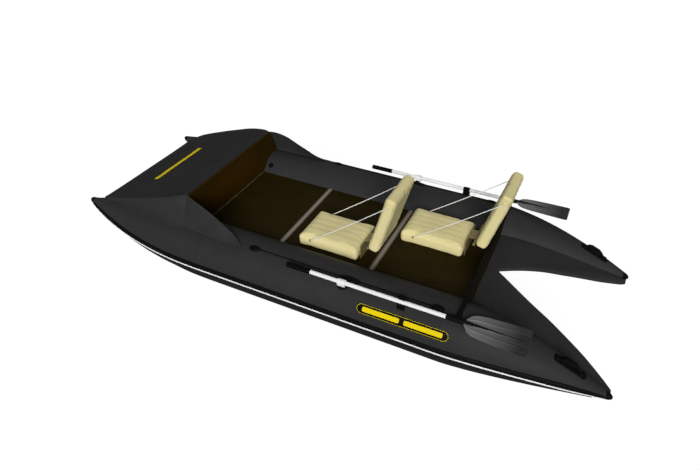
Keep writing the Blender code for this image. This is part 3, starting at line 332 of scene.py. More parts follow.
def rubber_paint(name, colour, slot="black_rubber", ribs=0.0):
    """Black moulded rubber or plastic, with a fine grain, dusty patches and worn gloss."""
    paint = Paint(name, colour, 0.5, slot=slot, gloss=0.06)
    paint.tint(paint.span(paint.noise(30.0, 5.0), 0.0, 0.5, 0.5, 0.75), tuple(c * 2.2 + 0.001 for c in colour))
    paint.rough(paint.noise(60.0, 4.0), 0.38, 0.62)
    paint.bump(paint.noise(900.0, 2.0), 0.25, 0.0004)
    if ribs:
        paint.bump(paint.bands(ribs, 0, paint.solid, 2.0), 0.5, 0.001)
    return paint


def board_paint(name, colour, glow=None):
    """Film-faced board: dark resin film with a fine mesh print, faint grain below and light scratches; with glow, a
    painted highlight, lighter and warmer towards a middle point.
    """
    paint = Paint(name, colour, 0.5, slot="brown_board")
    grain = paint.noise(9.0, 8.0, 0.62, paint.stretched((0.35, 6.0, 6.0)))
    paint.tint(paint.span(grain, 0.0, 0.55, 0.45, 0.72), tuple(c * 1.7 + 0.0008 for c in colour))
    paint.tint(paint.span(paint.noise(3.5, 4.0), 0.0, 0.45, 0.5, 0.75), tuple(c * 0.6 for c in colour))
    # Painted highlight: the colour turns towards the highlight tint near the middle point, fading out over the reach
    if glow:
        middle, reach, highlight_tint, amount = glow
        offset = paint.add("ShaderNodeVectorMath", operation="SUBTRACT")
        paint.link(paint.solid, offset.inputs[0])
        paint.link(middle, offset.inputs[1])
        scaled = paint.add("ShaderNodeVectorMath", operation="DIVIDE")
        paint.link(offset.outputs[0], scaled.inputs[0])
        paint.link(reach, scaled.inputs[1])
        far = paint.add("ShaderNodeVectorMath", operation="LENGTH")
        paint.link(scaled.outputs[0], far.inputs[0])
        paint.tint(paint.span(far.outputs["Value"], amount, 0.0), highlight_tint)
    scratches = paint.noise(26.0, 7.0, 0.7, paint.stretched((0.3, 5.0, 1.0)))
    paint.tint(paint.span(scratches, 0.0, 0.12, 0.70, 0.8), (0.07, 0.055, 0.03))
    paint.rough(paint.noise(18.0, 5.0), 0.46, 0.66)
    paint.bump(paint.weave(0.004, paint.solid), 0.12, 0.0004)
    paint.bump(grain, 0.10, 0.0006)
    return paint


def alloy_paint(name, highlight_x, colour=(0.200, 0.170, 0.130)):
    """Brushed extrusion, with a painted highlight along its crown."""
    paint = Paint(name, colour, 0.4, 0.35, slot="alloy")
    split = paint.add("ShaderNodeSeparateXYZ")
    paint.link(paint.solid, split.inputs[0])
    off = paint.math("ABSOLUTE", paint.math("SUBTRACT", split.outputs[0], highlight_x))
    # Painted highlight: lighter within a centimetre of the crown at highlight_x
    paint.tint(paint.span(off, 0.75, 0.0, 0.001, 0.010), (0.56, 0.50, 0.40))
    brushed = paint.noise(60.0, 6.0, 0.6, paint.stretched((9.0, 0.25, 9.0)))
    paint.tint(paint.span(brushed, 0.0, 0.35, 0.45, 0.75), tuple(c * 1.8 for c in colour))
    paint.rough(brushed, 0.30, 0.52)
    paint.bump(brushed, 0.15, 0.0004)
    return paint


def seat_paint(name):
    """Khaki seat cover: coated cloth with a fine weave, soft sheen, and painted shade in its sewn channels and
    side-seam dents.
    """
    paint = Paint(name, (0.790, 0.700, 0.350), 0.65, slot="seat_cover", gloss=0.08)
    paint.tint(paint.math("MULTIPLY", paint.span(paint.noise(11.0, 4.0), 0.0, 1.0, 0.45, 0.75), 0.4),
               (0.86, 0.78, 0.44))
    paint.tint(paint.math("MULTIPLY", paint.span(paint.noise(5.0, 5.0), 1.0, 0.0, 0.3, 0.5), 0.35),
               (0.68, 0.585, 0.27))
    # Painted shade: darker in the sewn channels and the side-seam dents
    paint.tint(paint.math("MULTIPLY", paint.attribute("channel"), 0.08), (0.36, 0.30, 0.13))
    paint.tint(paint.math("MULTIPLY", paint.attribute("stitch"), 0.35), (0.80, 0.74, 0.50))
    paint.rough(paint.noise(40.0, 4.0), 0.52, 0.70)
    crossed = paint.math("MULTIPLY", paint.bands(0.0022, 0, paint.solid), paint.bands(0.0022, 1, paint.solid))
    paint.bump(crossed, 0.16, 0.0005)
    paint.bump(paint.noise(28.0, 4.0), 0.16, 0.0025)
    paint.shader.inputs["Sheen Weight"].default_value = 0.04
    return paint


def webbing_paint(name):
    """White narrow webbing with a twill of fine ribs and a little grime."""
    paint = Paint(name, (0.86, 0.86, 0.84), 0.6, slot="strap", uv=True)
    paint.tint(paint.span(paint.noise(50.0, 4.0), 0.0, 0.35, 0.5, 0.8), (0.62, 0.61, 0.57))
    paint.bump(paint.bands(0.0016, 0), 0.5, 0.0004)
    return paint


def braid_paint(name):
    """Black braided rope: crossed strands, dulled by use."""
    paint = Paint(name, (0.0030, 0.0030, 0.0032), 0.6, slot="rope", uv=True, gloss=0.08)
    paint.tint(paint.span(paint.noise(120.0, 4.0), 0.0, 0.6, 0.45, 0.8), (0.0045, 0.0045, 0.0045))
    paint.rough(paint.noise(200.0, 3.0), 0.5, 0.75)
    paint.bump(paint.weave(0.0018), 0.5, 0.0005)
    return paint


def white_paint(name):
    """White powder-coated tube with fine orange peel, scuffs and a little grime."""
    paint = Paint(name, (0.93, 0.93, 0.93), 0.35, slot="oar_white")
    paint.tint(paint.span(paint.noise(22.0, 6.0), 0.0, 0.15, 0.6, 0.8), (0.66, 0.65, 0.62))
    scratches = paint.noise(40.0, 7.0, 0.7, paint.stretched((0.3, 4.0, 4.0)))
    paint.tint(paint.span(scratches, 0.0, 0.30, 0.72, 0.82), (0.42, 0.41, 0.39))
    paint.rough(paint.noise(70.0, 4.0), 0.28, 0.45)
    paint.bump(paint.noise(700.0, 2.0), 0.12, 0.0003)
    return paint


def blade_paint(name):
    """Grey moulded blade: lighter and worn towards its neck, with flow streaks along it."""
    paint = Paint(name, (0.030, 0.030, 0.031), 0.45, slot="blade_plastic", gloss=0.15)
    split = paint.add("ShaderNodeSeparateXYZ")
    paint.link(paint.solid, split.inputs[0])
    paint.tint(paint.span(split.outputs[0], 0.0, 1.0, -1.36, -1.11), (0.190, 0.190, 0.192))
    streaks = paint.noise(18.0, 6.0, 0.6, paint.stretched((0.25, 3.0, 3.0)))
    paint.tint(paint.span(streaks, 0.0, 0.35, 0.5, 0.78), (0.15, 0.15, 0.15))
    paint.rough(streaks, 0.32, 0.55)
    paint.bump(paint.noise(500.0, 2.0), 0.15, 0.0004)
    return paint


def print_paint(name, colour):
    """Screen-printed ink, slightly uneven."""
    paint = Paint(name, colour, 0.45, slot="hull_fabric")
    paint.tint(paint.span(paint.noise(90.0, 5.0), 0.0, 0.25, 0.5, 0.8), tuple(c * 0.7 for c in colour))
    paint.rough(paint.noise(150.0, 3.0), 0.38, 0.55)
    paint.bump(paint.noise(800.0, 2.0), 0.1, 0.0003)
    return paint


HULL = hull_paint("hull_fabric", (0.0310, 0.0310, 0.0320))
# Painted shade: a darker copy of the hull fabric for the bow's upward-facing deck
HULL_DECK_SHADED = hull_paint("deck_fabric", (0.0235, 0.0235, 0.0240))
# A darker copy of the hull fabric for the tubes' undersides and the keels: partly a dark bottom fabric, partly painted
# shade
HULL_UNDERSIDE_SHADED = hull_paint("keel_fabric", (0.0150, 0.0150, 0.0155))
HULL_TAPE = hull_paint("ridge_tape", (0.0275, 0.0275, 0.0300))
HULL_CAD = hull_paint("hull_fabric_plain", (0.0310, 0.0310, 0.0320), uv=False)
BLACK = rubber_paint("black_rubber", (0.0042, 0.0042, 0.0044))
GRIP = rubber_paint("grip_rubber", (0.0024, 0.0024, 0.0026), "black_plastic")
PLASTIC = rubber_paint("black_plastic", (0.0036, 0.0036, 0.0038), "black_plastic")
HANDLE = rubber_paint("handle_rubber", (0.0028, 0.0028, 0.0030), "black_rubber", ribs=0.007)
FLOOR_BOARD = board_paint("floor_board", (0.0175, 0.0112, 0.0010))
# The bow wall's lighter, redder middle is a painted highlight
WALL_BOARD = board_paint("wall_board", (0.0400, 0.0215, 0.0010),
                         ((0.943, 0.0, 0.50), (1.0, 0.42, 0.17), (0.078, 0.031, 0.001), 0.7))
TRANSOM_BOARD = board_paint("transom_board", (0.0190, 0.0115, 0.0010))
# The joiners carry the painted highlight on their crowns; the hinge's highlight_x lies far off, so it shows none
ALLOY_FRONT = alloy_paint("alloy_front", 0.324)
ALLOY_REAR = alloy_paint("alloy_rear", -0.3515)
HINGE = alloy_paint("coated_hinge", 9.0, (0.300, 0.255, 0.120))
SEAT = seat_paint("seat_cover")
WEBBING = webbing_paint("webbing")
BRAID = braid_paint("braid")
WHITE = white_paint("oar_white")
STRIPE = print_paint("white_stripe", (0.90, 0.90, 0.90))
BLADE = blade_paint("blade_plastic")
YELLOW = print_paint("yellow_ink", (0.86, 0.66, 0.002))
BADGE = print_paint("badge_black", (0.003, 0.003, 0.003))

for name, node in cad.items():
    short = name.replace("port_", "").replace("starboard_", "")
    paint = {"bow_cap": BLACK, "stern_cap": BLACK, "valve": PLASTIC, "front_lifeline_patch": BLACK,
             "rear_lifeline_patch": BLACK, "rowlock_base": BLACK, "oar_clip": BLACK, "stern_handle": HANDLE,
             "oar_collar": WHITE, "oar_grip": GRIP, "oar_shaft": WHITE, "oar_sleeve": PLASTIC,
             "oar_blade": BLADE, "bow_wall": WALL_BOARD, "front_floor_board": FLOOR_BOARD,
             "middle_floor_board": FLOOR_BOARD, "rear_floor_board": FLOOR_BOARD,
             "front_floor_joiner": ALLOY_FRONT, "rear_floor_joiner": ALLOY_REAR,
             "transom_board": TRANSOM_BOARD, "transom_cap": BLACK, "front_hinge_base": HINGE,
             "front_hinge_flap": HINGE, "rear_hinge_base": HINGE, "rear_hinge_flap": HINGE}.get(short, HULL_CAD)
    node.data.materials.clear()
    node.data.materials.append(paint.material)


# Shape helpers

def smooth_row(table, share):
    """Read a table of (share, value, ...) rows at one share, on smooth curves through the rows."""
    at = [row[0] for row in table]
    share = clamp(share, at[0], at[-1])
    left = max(i for i in range(len(at) - 1) if at[i] <= share)
    run = at[left + 1] - at[left]
    t = (share - at[left]) / run
    values = []
    for column in range(1, len(table[0])):
        slopes = []
        for i in (left, left + 1):
            a, b = max(i - 1, 0), min(i + 1, len(at) - 1)
            slopes.append((table[b][column] - table[a][column]) / (at[b] - at[a]) * run)
        start, end = table[left][column], table[left + 1][column]
        values.append((2 * t ** 3 - 3 * t ** 2 + 1) * start + (t ** 3 - 2 * t ** 2 + t) * slopes[0]
                      + (3 * t ** 2 - 2 * t ** 3) * end + (t ** 3 - t ** 2) * slopes[1])
    return values


def taper_share(x):
    """How far a station is along the bow taper (positive) or the stern taper (negative)."""
    if x > BOW_TAPER_X:
        return (x - BOW_TAPER_X) / BOW_TAPER_LENGTH
    if x < STERN_TAPER_X:
        return (x - STERN_TAPER_X) / STERN_TAPER_LENGTH
    return 0.0


def tube_radius(x):
    """Radius of the tube at a station."""
    share = taper_share(x)
    return TIP_RADIUS + (TUBE_RADIUS - TIP_RADIUS) * (1 - abs(share) ** (2.2 if share > 0 else 1.6))


def tube_height(x):
    """Height of the tube's centre at a station."""
    share = taper_share(x)
    return TUBE_Z + BOW_RISE * share ** 2.5 if share > 0 else TUBE_Z - STERN_DROP * share ** 2


def tube_point(x, degrees_outward, distance, side):
    """A point at a distance from the tube's centre line, at an angle outward from straight up."""
    turn = math.radians(degrees_outward)
    return Vector((x, side * (TUBE_Y + distance * math.sin(turn)), tube_height(x) + distance * math.cos(turn)))


def stations(start, end, count, extra=()):
    """Evenly spaced stations with some more in between."""
    values = [lerp(start, end, i / count) for i in range(count + 1)] + [x for x in extra if start < x < end]
    return sorted(set(round(x, 5) for x in values))


def finish_piece(name, bm, paint, sharp_deg=35.0, body="hull"):
    """Turn a bmesh into an object with its paint, outward faces and a body to ride on."""
    bmesh.ops.recalc_face_normals(bm, faces=bm.faces)
    mesh = bpy.data.meshes.new(name)
    bm.to_mesh(mesh)
    bm.free()
    mesh.shade_smooth()
    mesh.set_sharp_from_angle(angle=math.radians(sharp_deg))
    piece = bpy.data.objects.new(name, mesh)
    bpy.context.scene.collection.objects.link(piece)
    mesh.materials.append(paint.material)
    if body:
        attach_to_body(piece, body)
    return piece


def loft(rings, closed=True, caps=True):
    """Skin through rings of points, with a UV map in metres along and around."""
    bm = bmesh.new()
    layer = bm.loops.layers.uv.new("metres")
    grid = [[bm.verts.new(point) for point in ring] for ring in rings]
    count = len(rings[0])
    along = [0.0]
    for ring, following in zip(rings, rings[1:]):
        along.append(along[-1] + (Vector(following[0]) - Vector(ring[0])).length)
    middle = rings[len(rings) // 2]
    around = [0.0]
    for i in range(count):
        around.append(around[-1] + (Vector(middle[(i + 1) % count]) - Vector(middle[i])).length)
    for i in range(len(grid) - 1):
        for j in range(count if closed else count - 1):
            k = (j + 1) % count
            face = bm.faces.new((grid[i][j], grid[i][k], grid[i + 1][k], grid[i + 1][j]))
            places = ((along[i], around[j]), (along[i], around[j + 1]), (along[i + 1], around[j + 1]),
                      (along[i + 1], around[j]))
            for loop, place in zip(face.loops, places):
                loop[layer].uv = place
    if caps:
        bm.faces.new(grid[0])
        bm.faces.new(grid[-1])
    return bm


def frame_point(origin, along, across, up):
    """A function that places local numbers in the row frame."""
    return lambda a, b, c: origin + along * a + across * b + up * c


def circle_arc(x, start_deg, end_deg, distance, steps):
    """Points (y, z) on a port tube's skin between two outward angles."""
    points = [tube_point(x, lerp(start_deg, end_deg, i / steps), distance, 1) for i in range(steps + 1)]
    return [(point.y, point.z) for point in points]


# Side tubes: round fabric chambers with lapped seams where the cones start

TUBE_SIDES = 80
LAP_HALF = 0.014
LAP_RISE = 0.0003
LAP_STATIONS = (STERN_TAPER_X, BOW_TAPER_X)


def lap_rise(x):
    """Extra radius where two lengths of fabric lap."""
    near = min(abs(x - at) for at in LAP_STATIONS)
    return LAP_RISE * clamp((LAP_HALF - near) / 0.001, 0.0, 1.0)


def make_tube(side_name, side):
    """One smooth side tube."""
    extra = [at + step for at in LAP_STATIONS for step in (-LAP_HALF, -LAP_HALF + 0.001, LAP_HALF - 0.001, LAP_HALF)]
    rings = []
    for x in stations(-TUBE_END_X, TUBE_END_X, 110, extra):
        radius = tube_radius(x) - SKIN_INSET + lap_rise(x)
        rings.append([tube_point(x, 360.0 * i / TUBE_SIDES, radius, side) for i in range(TUBE_SIDES)])
    piece = finish_piece(side_name + "_tube_skin", loft(rings), HULL, 50.0)
    # Faces below the stripe take the darker copy: partly a dark bottom fabric, partly painted shade on the underside
    piece.data.materials.append(HULL_UNDERSIDE_SHADED.material)
    for face in piece.data.polygons:
        if face.center.z < tube_height(face.center.x) - 0.16 * tube_radius(face.center.x):
            face.material_index = 1
    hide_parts(side_name + "_side_tube")


def make_keel(side_name, side):
    """Fabric keel faired under the tube."""
    start = -TIP_X + TIP_CAP_LENGTH + KEEL_TIP_SETBACK
    end = BOW_TAPER_X + BOW_TAPER_LENGTH * KEEL_BOW_SHARE
    rings = []
    for x in stations(start, end, 90):
        share = taper_share(x)
        if share < 0:
            depth, attach_deg = lerp(KEEL_DEPTH, KEEL_DEPTH * KEEL_STERN_DEPTH_SHARE, -share), KEEL_ATTACH_DEG
        else:
            fade = (share / KEEL_BOW_SHARE) ** 2
            depth = lerp(KEEL_DEPTH, KEEL_DEPTH * KEEL_BOW_DEPTH_SHARE, fade)
            attach_deg = lerp(KEEL_ATTACH_DEG, KEEL_BOW_ATTACH_DEG, fade)
        radius = tube_radius(x)
        bottom = tube_height(x) - radius - depth
        turn = math.radians(attach_deg)
        reach = radius * math.cos(turn)
        attach = tube_height(x) - radius * math.sin(turn)
        sole = min(KEEL_SOLE_HALF_WIDTH * radius / TUBE_RADIUS, reach / 2)
        corner = (lerp(sole, reach, 0.6), lerp(bottom, attach, 0.36))
        curve = []
        for i in range(9):
            t = i / 8
            y = (1 - t) ** 2 * reach + 2 * t * (1 - t) * corner[0] + t ** 2 * sole
            z = (1 - t) ** 2 * attach + 2 * t * (1 - t) * lerp(bottom, corner[1], 0.55) + t ** 2 * bottom
            curve.append((y, z))
        outline = curve + [(-y, z) for y, z in reversed(curve)]
        span_deg = 90.0 - attach_deg
        roof = [tube_point(x, lerp(180.0 + span_deg, 180.0 - span_deg, i / 12), radius + GAP, 1)
                for i in range(1, 12)]
        outline += [(point.y - TUBE_Y, point.z) for point in roof]
        rings.append([Vector((x, side * (TUBE_Y + y), z)) for y, z in outline])
    # The keel takes the darker underside copy, with its painted shade
    piece = finish_piece(side_name + "_keel_skin", loft(rings), HULL_UNDERSIDE_SHADED, 40.0)
    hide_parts(side_name + "_keel")


STRAKE_FULL_RADIUS = 0.09
STRAKE_BAND = ((0.0255, 0.0000), (0.0251, 0.0045), (0.0225, 0.0078), (0.0175, 0.0098), (0.0126, 0.0106),
               (0.0096, 0.0092), (0.0077, 0.0078), (0.0054, 0.0078), (0.0031, 0.0094), (-0.0014, 0.0106),
               (-0.0048, 0.0098), (-0.0062, 0.0070), (-0.0064, 0.0000))
STRAKE_STRIPE = ((-0.0070, 0.0000), (-0.0072, 0.0075), (-0.0087, 0.0105), (-0.0116, 0.0118),
                 (-0.0149, 0.0118), (-0.0178, 0.0104), (-0.0199, 0.0070), (-0.0205, 0.0000))


def make_strake(side_name, side):
    """Rub strake: a black grooved band with a round white stripe below it."""
    for tag, profile, paint in (("_strake_band", STRAKE_BAND, BLACK), ("_strake_stripe", STRAKE_STRIPE, STRIPE)):
        rings = []
        for x in stations(-TUBE_END_X + 0.008, TUBE_END_X - 0.008, 130):
            radius = tube_radius(x)
            fit = min(1.0, (radius / STRAKE_FULL_RADIUS) ** 0.6)
            outline = [(rise * fit, math.sqrt(radius ** 2 - (rise * fit) ** 2) + 0.0006 + proud * fit)
                       for rise, proud in profile]
            top, low = profile[0][0] * fit, profile[-1][0] * fit
            outline += [(lerp(low, top, i / 4), math.sqrt(radius ** 2 - lerp(low, top, i / 4) ** 2) + 0.0004)
                        for i in range(1, 4)]
            rings.append([Vector((x, side * (TUBE_Y + reach), tube_height(x) + rise)) for rise, reach in outline])
        finish_piece(side_name + tag, loft(rings), paint, 50.0)
    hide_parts(side_name + "_rub_strake")


# Raised bow: deck, sides and seams

def deck_edge(x):
    """Half width, edge height and middle height of the deck, and its seam angle on the tube."""
    share = clamp((x - WALL_FRONT_X) / (DECK_FRONT_X - WALL_FRONT_X), 0.0, 1.0)
    flare, edge_lift, middle_lift = smooth_row(DECK_EDGE_SHARES, share)
    straight = lerp(RIDGE_HEIGHT, DECK_FRONT_HEIGHT, share)
    width = RIDGE_HALF_WIDTH + DECK_FLARE * flare
    bottom = lerp(BOW_CHAMBER_BOTTOM, DECK_FRONT_HEIGHT - DECK_FRONT_THICKNESS, share)
    seam_deg = SEAM_DEG * (1 - share ** 2 / SEAM_BOW_FADE_SHARE)
    return width, straight + DECK_EDGE_LIFT * edge_lift, straight + DECK_EDGE_LIFT * middle_lift, bottom, seam_deg


DIMPLES = ((1.13, 0.02, 0.11, 0.10, 0.018), (1.36, -0.20, 0.15, 0.10, -0.004), (1.33, 0.25, 0.15, 0.10, -0.004))


def deck_height(x, y, edge, middle, width):
    """Height of the deck's skin, with a shallow hollow and soft swells in the stretched fabric."""
    across = abs(y) / width
    z = lerp(middle, edge, smooth_row(DECK_CAMBER_SHARES, across)[0])
    for at_x, at_y, long, wide, depth in DIMPLES:
        away = ((x - at_x) / long) ** 2 + ((y - at_y) / wide) ** 2
        z -= depth * math.exp(-away * 2)
    return z


def half_section(x):
    """Points (y, z) of the raised bow's port half, from the deck's middle round to the floor's middle."""
    width, edge, middle, bottom, seam_deg = deck_edge(x)
    radius = tube_radius(x)
    points = []
    inner = width - 0.010
    for i in range(17):
        y = inner * i / 16
        points.append((y, deck_height(x, y, edge, middle, width)))
    seam = tube_point(x, seam_deg, radius + SEAM_PROUD, 1)
    points += [(width - 0.004, edge - 0.0012), (width - 0.0005, edge - 0.004)]
    start = (width, edge - 0.010)
    steps = 8
    for i in range(steps + 1):
        t = i / steps
        bulge = 0.007 * math.sin(math.pi * t) * clamp((edge - seam.z) / 0.15, 0.0, 1.0)
        y, z = lerp(start[0], seam.y, t) + bulge, lerp(start[1], seam.z, t)
        away = math.hypot(y - TUBE_Y, z - tube_height(x))
        out = max(1.0, (radius + SEAM_PROUD) / away)
        points.append((TUBE_Y + (y - TUBE_Y) * out, tube_height(x) + (z - tube_height(x)) * out))
    skin = radius + GAP
    height = clamp((bottom - tube_height(x)) / skin, -1.0, 1.0)
    low_deg = -math.degrees(math.acos(height))
    points += circle_arc(x, seam_deg - 1.2, low_deg, skin, 22)
    points.append((0.0, bottom))
    return points


def make_bow():
    """The raised bow's skin."""
    rings = []
    for x in stations(WALL_FRONT_X + 0.0004, DECK_FRONT_X, 64):
        half = half_section(x)
        ring = [Vector((x, y, z)) for y, z in half]
        ring += [Vector((x, -y, z)) for y, z in reversed(half[1:-1])]
        rings.append(ring)
    piece = finish_piece("bow_skin", loft(rings), HULL, 28.0)
    mesh = piece.data
    # Faces that look up take the darker copy: painted shade on the deck top
    mesh.materials.append(HULL_DECK_SHADED.material)
    for face in mesh.polygons:
        middle = face.center
        width = deck_edge(middle.x)[0]
        if face.normal.z > 0.75 and abs(middle.y) < width - 0.004:
            face.material_index = 1
    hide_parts("bow_chamber")


def make_bow_tapes():
    """Seam tapes: along the deck's edges, along the ridge, and where the sides meet the tubes."""
    for side_name, side in SIDES:
        rings = []
        for x in stations(WALL_FRONT_X + 0.003, DECK_FRONT_X - 0.006, 60):
            width, edge, middle, bottom, seam_deg = deck_edge(x)
            lift = 0.0010
            points = [(width - 0.019, deck_height(x, width - 0.019, edge, middle, width) + lift * 0.2),
                      (width - 0.018, deck_height(x, width - 0.018, edge, middle, width) + lift),
                      (width - 0.011, deck_height(x, width - 0.011, edge, middle, width) + lift),
                      (width - 0.0036, edge - 0.0006 + lift * 0.6), (width + 0.0004, edge - 0.0038),
                      (width + 0.0014, edge - 0.010), (width + 0.0026, edge - 0.024),
                      (width + 0.0010, edge - 0.025), (width - 0.004, edge - 0.012),
                      (width - 0.012, edge - 0.006)]
            rings.append([Vector((x, side * y, z)) for y, z in points])
        finish_piece(side_name + "_deck_edge_tape", loft(rings), HULL, 60.0)
        rings = []
        for x in stations(WALL_FRONT_X + 0.003, DECK_FRONT_X - 0.02, 60):
            seam_deg = deck_edge(x)[4]
            radius = tube_radius(x)
            lap = math.degrees(0.014 / radius)
            ring = []
            for degrees, rise in ((0.0, 0.0032), (lap * 0.3, 0.0028), (lap * 0.9, 0.0009), (lap, 0.0001),
                                  (lap * 0.6, -0.0006), (0.0, -0.0004)):
                ring.append(tube_point(x, seam_deg + degrees, radius + rise, side))
            rings.append(ring)
        finish_piece(side_name + "_bow_foot_tape", loft(rings), HULL, 60.0)
    rings = []
    for i in range(61):
        y = lerp(-RIDGE_HALF_WIDTH + 0.004, RIDGE_HALF_WIDTH - 0.004, i / 60)
        ring = []
        for x, lift in ((WALL_FRONT_X + 0.0008, 0.0), (WALL_FRONT_X + 0.0010, 0.0012), (0.968, 0.0012),
                        (0.985, 0.0012), (1.000, 0.0012), (1.0012, 0.0001), (0.985, -0.0006), (0.968, -0.0006)):
            width, edge, middle, bottom, seam_deg = deck_edge(x)
            ring.append(Vector((x, y, deck_height(x, min(abs(y), width), edge, middle, width) + lift)))
        rings.append(ring)
    finish_piece("ridge_tape", loft(rings), HULL_TAPE, 60.0)


def make_gusset(side_name, side):
    """Fabric fairing from the ridge's corner down to the tube, with a soft hollow face."""
    rings = []
    for i in range(61):
        share = i / 60
        x = WALL_FRONT_X - GUSSET_LENGTH * share
        seam_deg = lerp(SEAM_DEG, GUSSET_AFT_SEAM_DEG, share)
        foot_deg = lerp(GUSSET_FOOT_DEG, GUSSET_AFT_FOOT_DEG, share)
        foot = tube_point(x, foot_deg, TUBE_RADIUS + SEAM_PROUD, 1)
        seam = tube_point(x, seam_deg, TUBE_RADIUS + SEAM_PROUD, 1)
        edge_y, edge_z = smooth_row(GUSSET_EDGE, share)
        lift = clamp((edge_z - foot.z) / (RIDGE_HEIGHT - foot.z), 0.0, 1.0)
        thick = SEAM_PROUD
        outline = [(edge_y - thick, edge_z - 0.0016), (edge_y - thick * 0.4, edge_z), (edge_y + thick * 0.4, edge_z),
                   (edge_y + thick, edge_z - 0.0016)]
        for step in range(1, 7):
            t = step / 6
            outline.append((lerp(edge_y + thick, seam.y, t) + 0.004 * math.sin(math.pi * t) * lift,
                            lerp(edge_z - 0.0016, seam.z, t)))
        outline += circle_arc(x, seam_deg - 0.3, foot_deg + 0.3, tube_radius(x) - GUSSET_SUNK, 3)
        for step in range(0, 6):
            t = step / 6
            outline.append((lerp(foot.y, edge_y - thick, t) + 0.003 * math.sin(math.pi * t) * lift,
                            lerp(foot.z, edge_z - 0.0016, t)))
        rings.append([Vector((x, side * y, z)) for y, z in outline])
    piece = finish_piece(side_name + "_gusset_skin", loft(rings), HULL, 45.0)
    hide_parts(side_name + "_bow_gusset")


# Sheet between the hulls, with the swallow tail

def tail_half(x):
    """Half width of the notch at a station, 0 where the sheet is whole."""
    share = (NOTCH_X - x) / (NOTCH_X + TIP_X)
    if share <= 0:
        return 0.0
    return smooth_row(TAIL_EDGE_SHARES, share)[0] * TAIL_TIP_HALF_WIDTH


def make_tail():
    """Tunnel sheet and tail panels: one taut skin from hull to hull with a rounded hem at the notch."""
    bm = bmesh.new()
    layer = bm.loops.layers.uv.new("metres")
    step_x = TRANSOM_REAR_X - 0.0003
    end_x = lerp(NOTCH_X, -TIP_X, TAIL_EDGE_SHARES[-1][0])
    places = [WALL_FRONT_X] + [lerp(WALL_FRONT_X, step_x, i / 12) for i in range(1, 13)]
    places += [step_x - 0.001] + [lerp(step_x - 0.001, NOTCH_X, i / 6) for i in range(1, 7)]
    places += [lerp(NOTCH_X, end_x, (i / 44) ** 1.2) for i in range(1, 45)]
    steps = 14
    for side in (1, -1):
        rows = []
        for x in places:
            forward = x > step_x - 0.0005
            share = max(0.0, (NOTCH_X - x) / (NOTCH_X + TIP_X))
            top = DECK_TOP if forward else TAIL_TOP_HEIGHT - TAIL_DROP * share ** 1.5
            thick = min(DECK_SHEET_THICKNESS, tube_radius(x) * 1.1)
            bottom = (DECK_TOP if forward else top) - thick
            radius = tube_radius(x) + GAP
            outer = []
            for z in (top, bottom):
                rise = clamp(z - tube_height(x), -radius, radius)
                outer.append(TUBE_Y - math.sqrt(radius ** 2 - rise ** 2))
            inner = tail_half(x)
            upper = []
            for i in range(steps + 1):
                t = i / steps
                y = lerp(inner, outer[0], t)
                slack = 0.0
                if not forward:
                    slack = 0.004 * math.sin(math.pi * t) * math.sin(7.0 * x + 3.0 * t) * min(1.0, share * 4)
                upper.append((y, top + slack))
            lower = [(lerp(inner, outer[1], t / steps), bottom) for t in range(steps + 1)]
            if inner > 0:
                upper[0] = (inner + 0.004, upper[0][1] - 0.001)
                lower[0] = (inner + 0.004, lower[0][1] + 0.001)
                hem = [(inner, bottom + 0.006), (inner - 0.0015, (top + bottom) / 2), (inner, top - 0.006)]
            else:
                hem = [(0.0, lerp(bottom, top, 0.25)), (0.0, lerp(bottom, top, 0.5)), (0.0, lerp(bottom, top, 0.75))]
            ring = upper + list(reversed(lower)) + hem
            rows.append(([bm.verts.new((x, side * y, z)) for y, z in ring], inner, x))
        count = len(rows[0][0])
        for (row, inner, x), (following, inner_next, x_next) in zip(rows, rows[1:]):
            for j in range(count):
                k = (j + 1) % count
                if inner == 0 and inner_next == 0 and j >= 2 * steps + 1:
                    continue
                face = bm.faces.new((row[j], row[k], following[k], following[j]))
                for loop in face.loops:
                    loop[layer].uv = (loop.vert.co.x, loop.vert.co.y)
        bm.faces.new(rows[0][0])
        bm.faces.new(rows[-1][0])
    bmesh.ops.remove_doubles(bm, verts=bm.verts, dist=0.00002)
    bmesh.ops.delete(bm, geom=[vert for vert in bm.verts if not vert.link_faces], context="VERTS")
    piece = finish_piece("tail_sheet", bm, HULL, 50.0)
    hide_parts("tunnel_deck")


# Lifelines: three-strand rope along the tubes

def make_rope(side_name, side):
    """A laid rope with three twisted strands."""
    rings = []
    count = 620
    lay = 0.021
    for i in range(count + 1):
        x = lerp(FRONT_PATCH_X - 0.0005, REAR_PATCH_X + 0.0005, i / count)
        middle = tube_point(x, ROPE_DEG, tube_radius(x) + ROPE_RADIUS + 0.0006, side)
        twist = math.tau * (FRONT_PATCH_X - x) / lay
        ring = []
        for j in range(12):
            turn = math.tau * j / 12
            radius = ROPE_RADIUS * (0.86 + 0.14 * math.cos(3 * (turn - twist)))
            ring.append(middle + Vector((0.0, math.cos(turn) * radius, math.sin(turn) * radius)))
        rings.append(ring)
    piece = finish_piece(side_name + "_rope", loft(rings), BRAID, 80.0)
    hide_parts(side_name + "_lifeline")


# Plain plates where the photograph has prints: no lettering

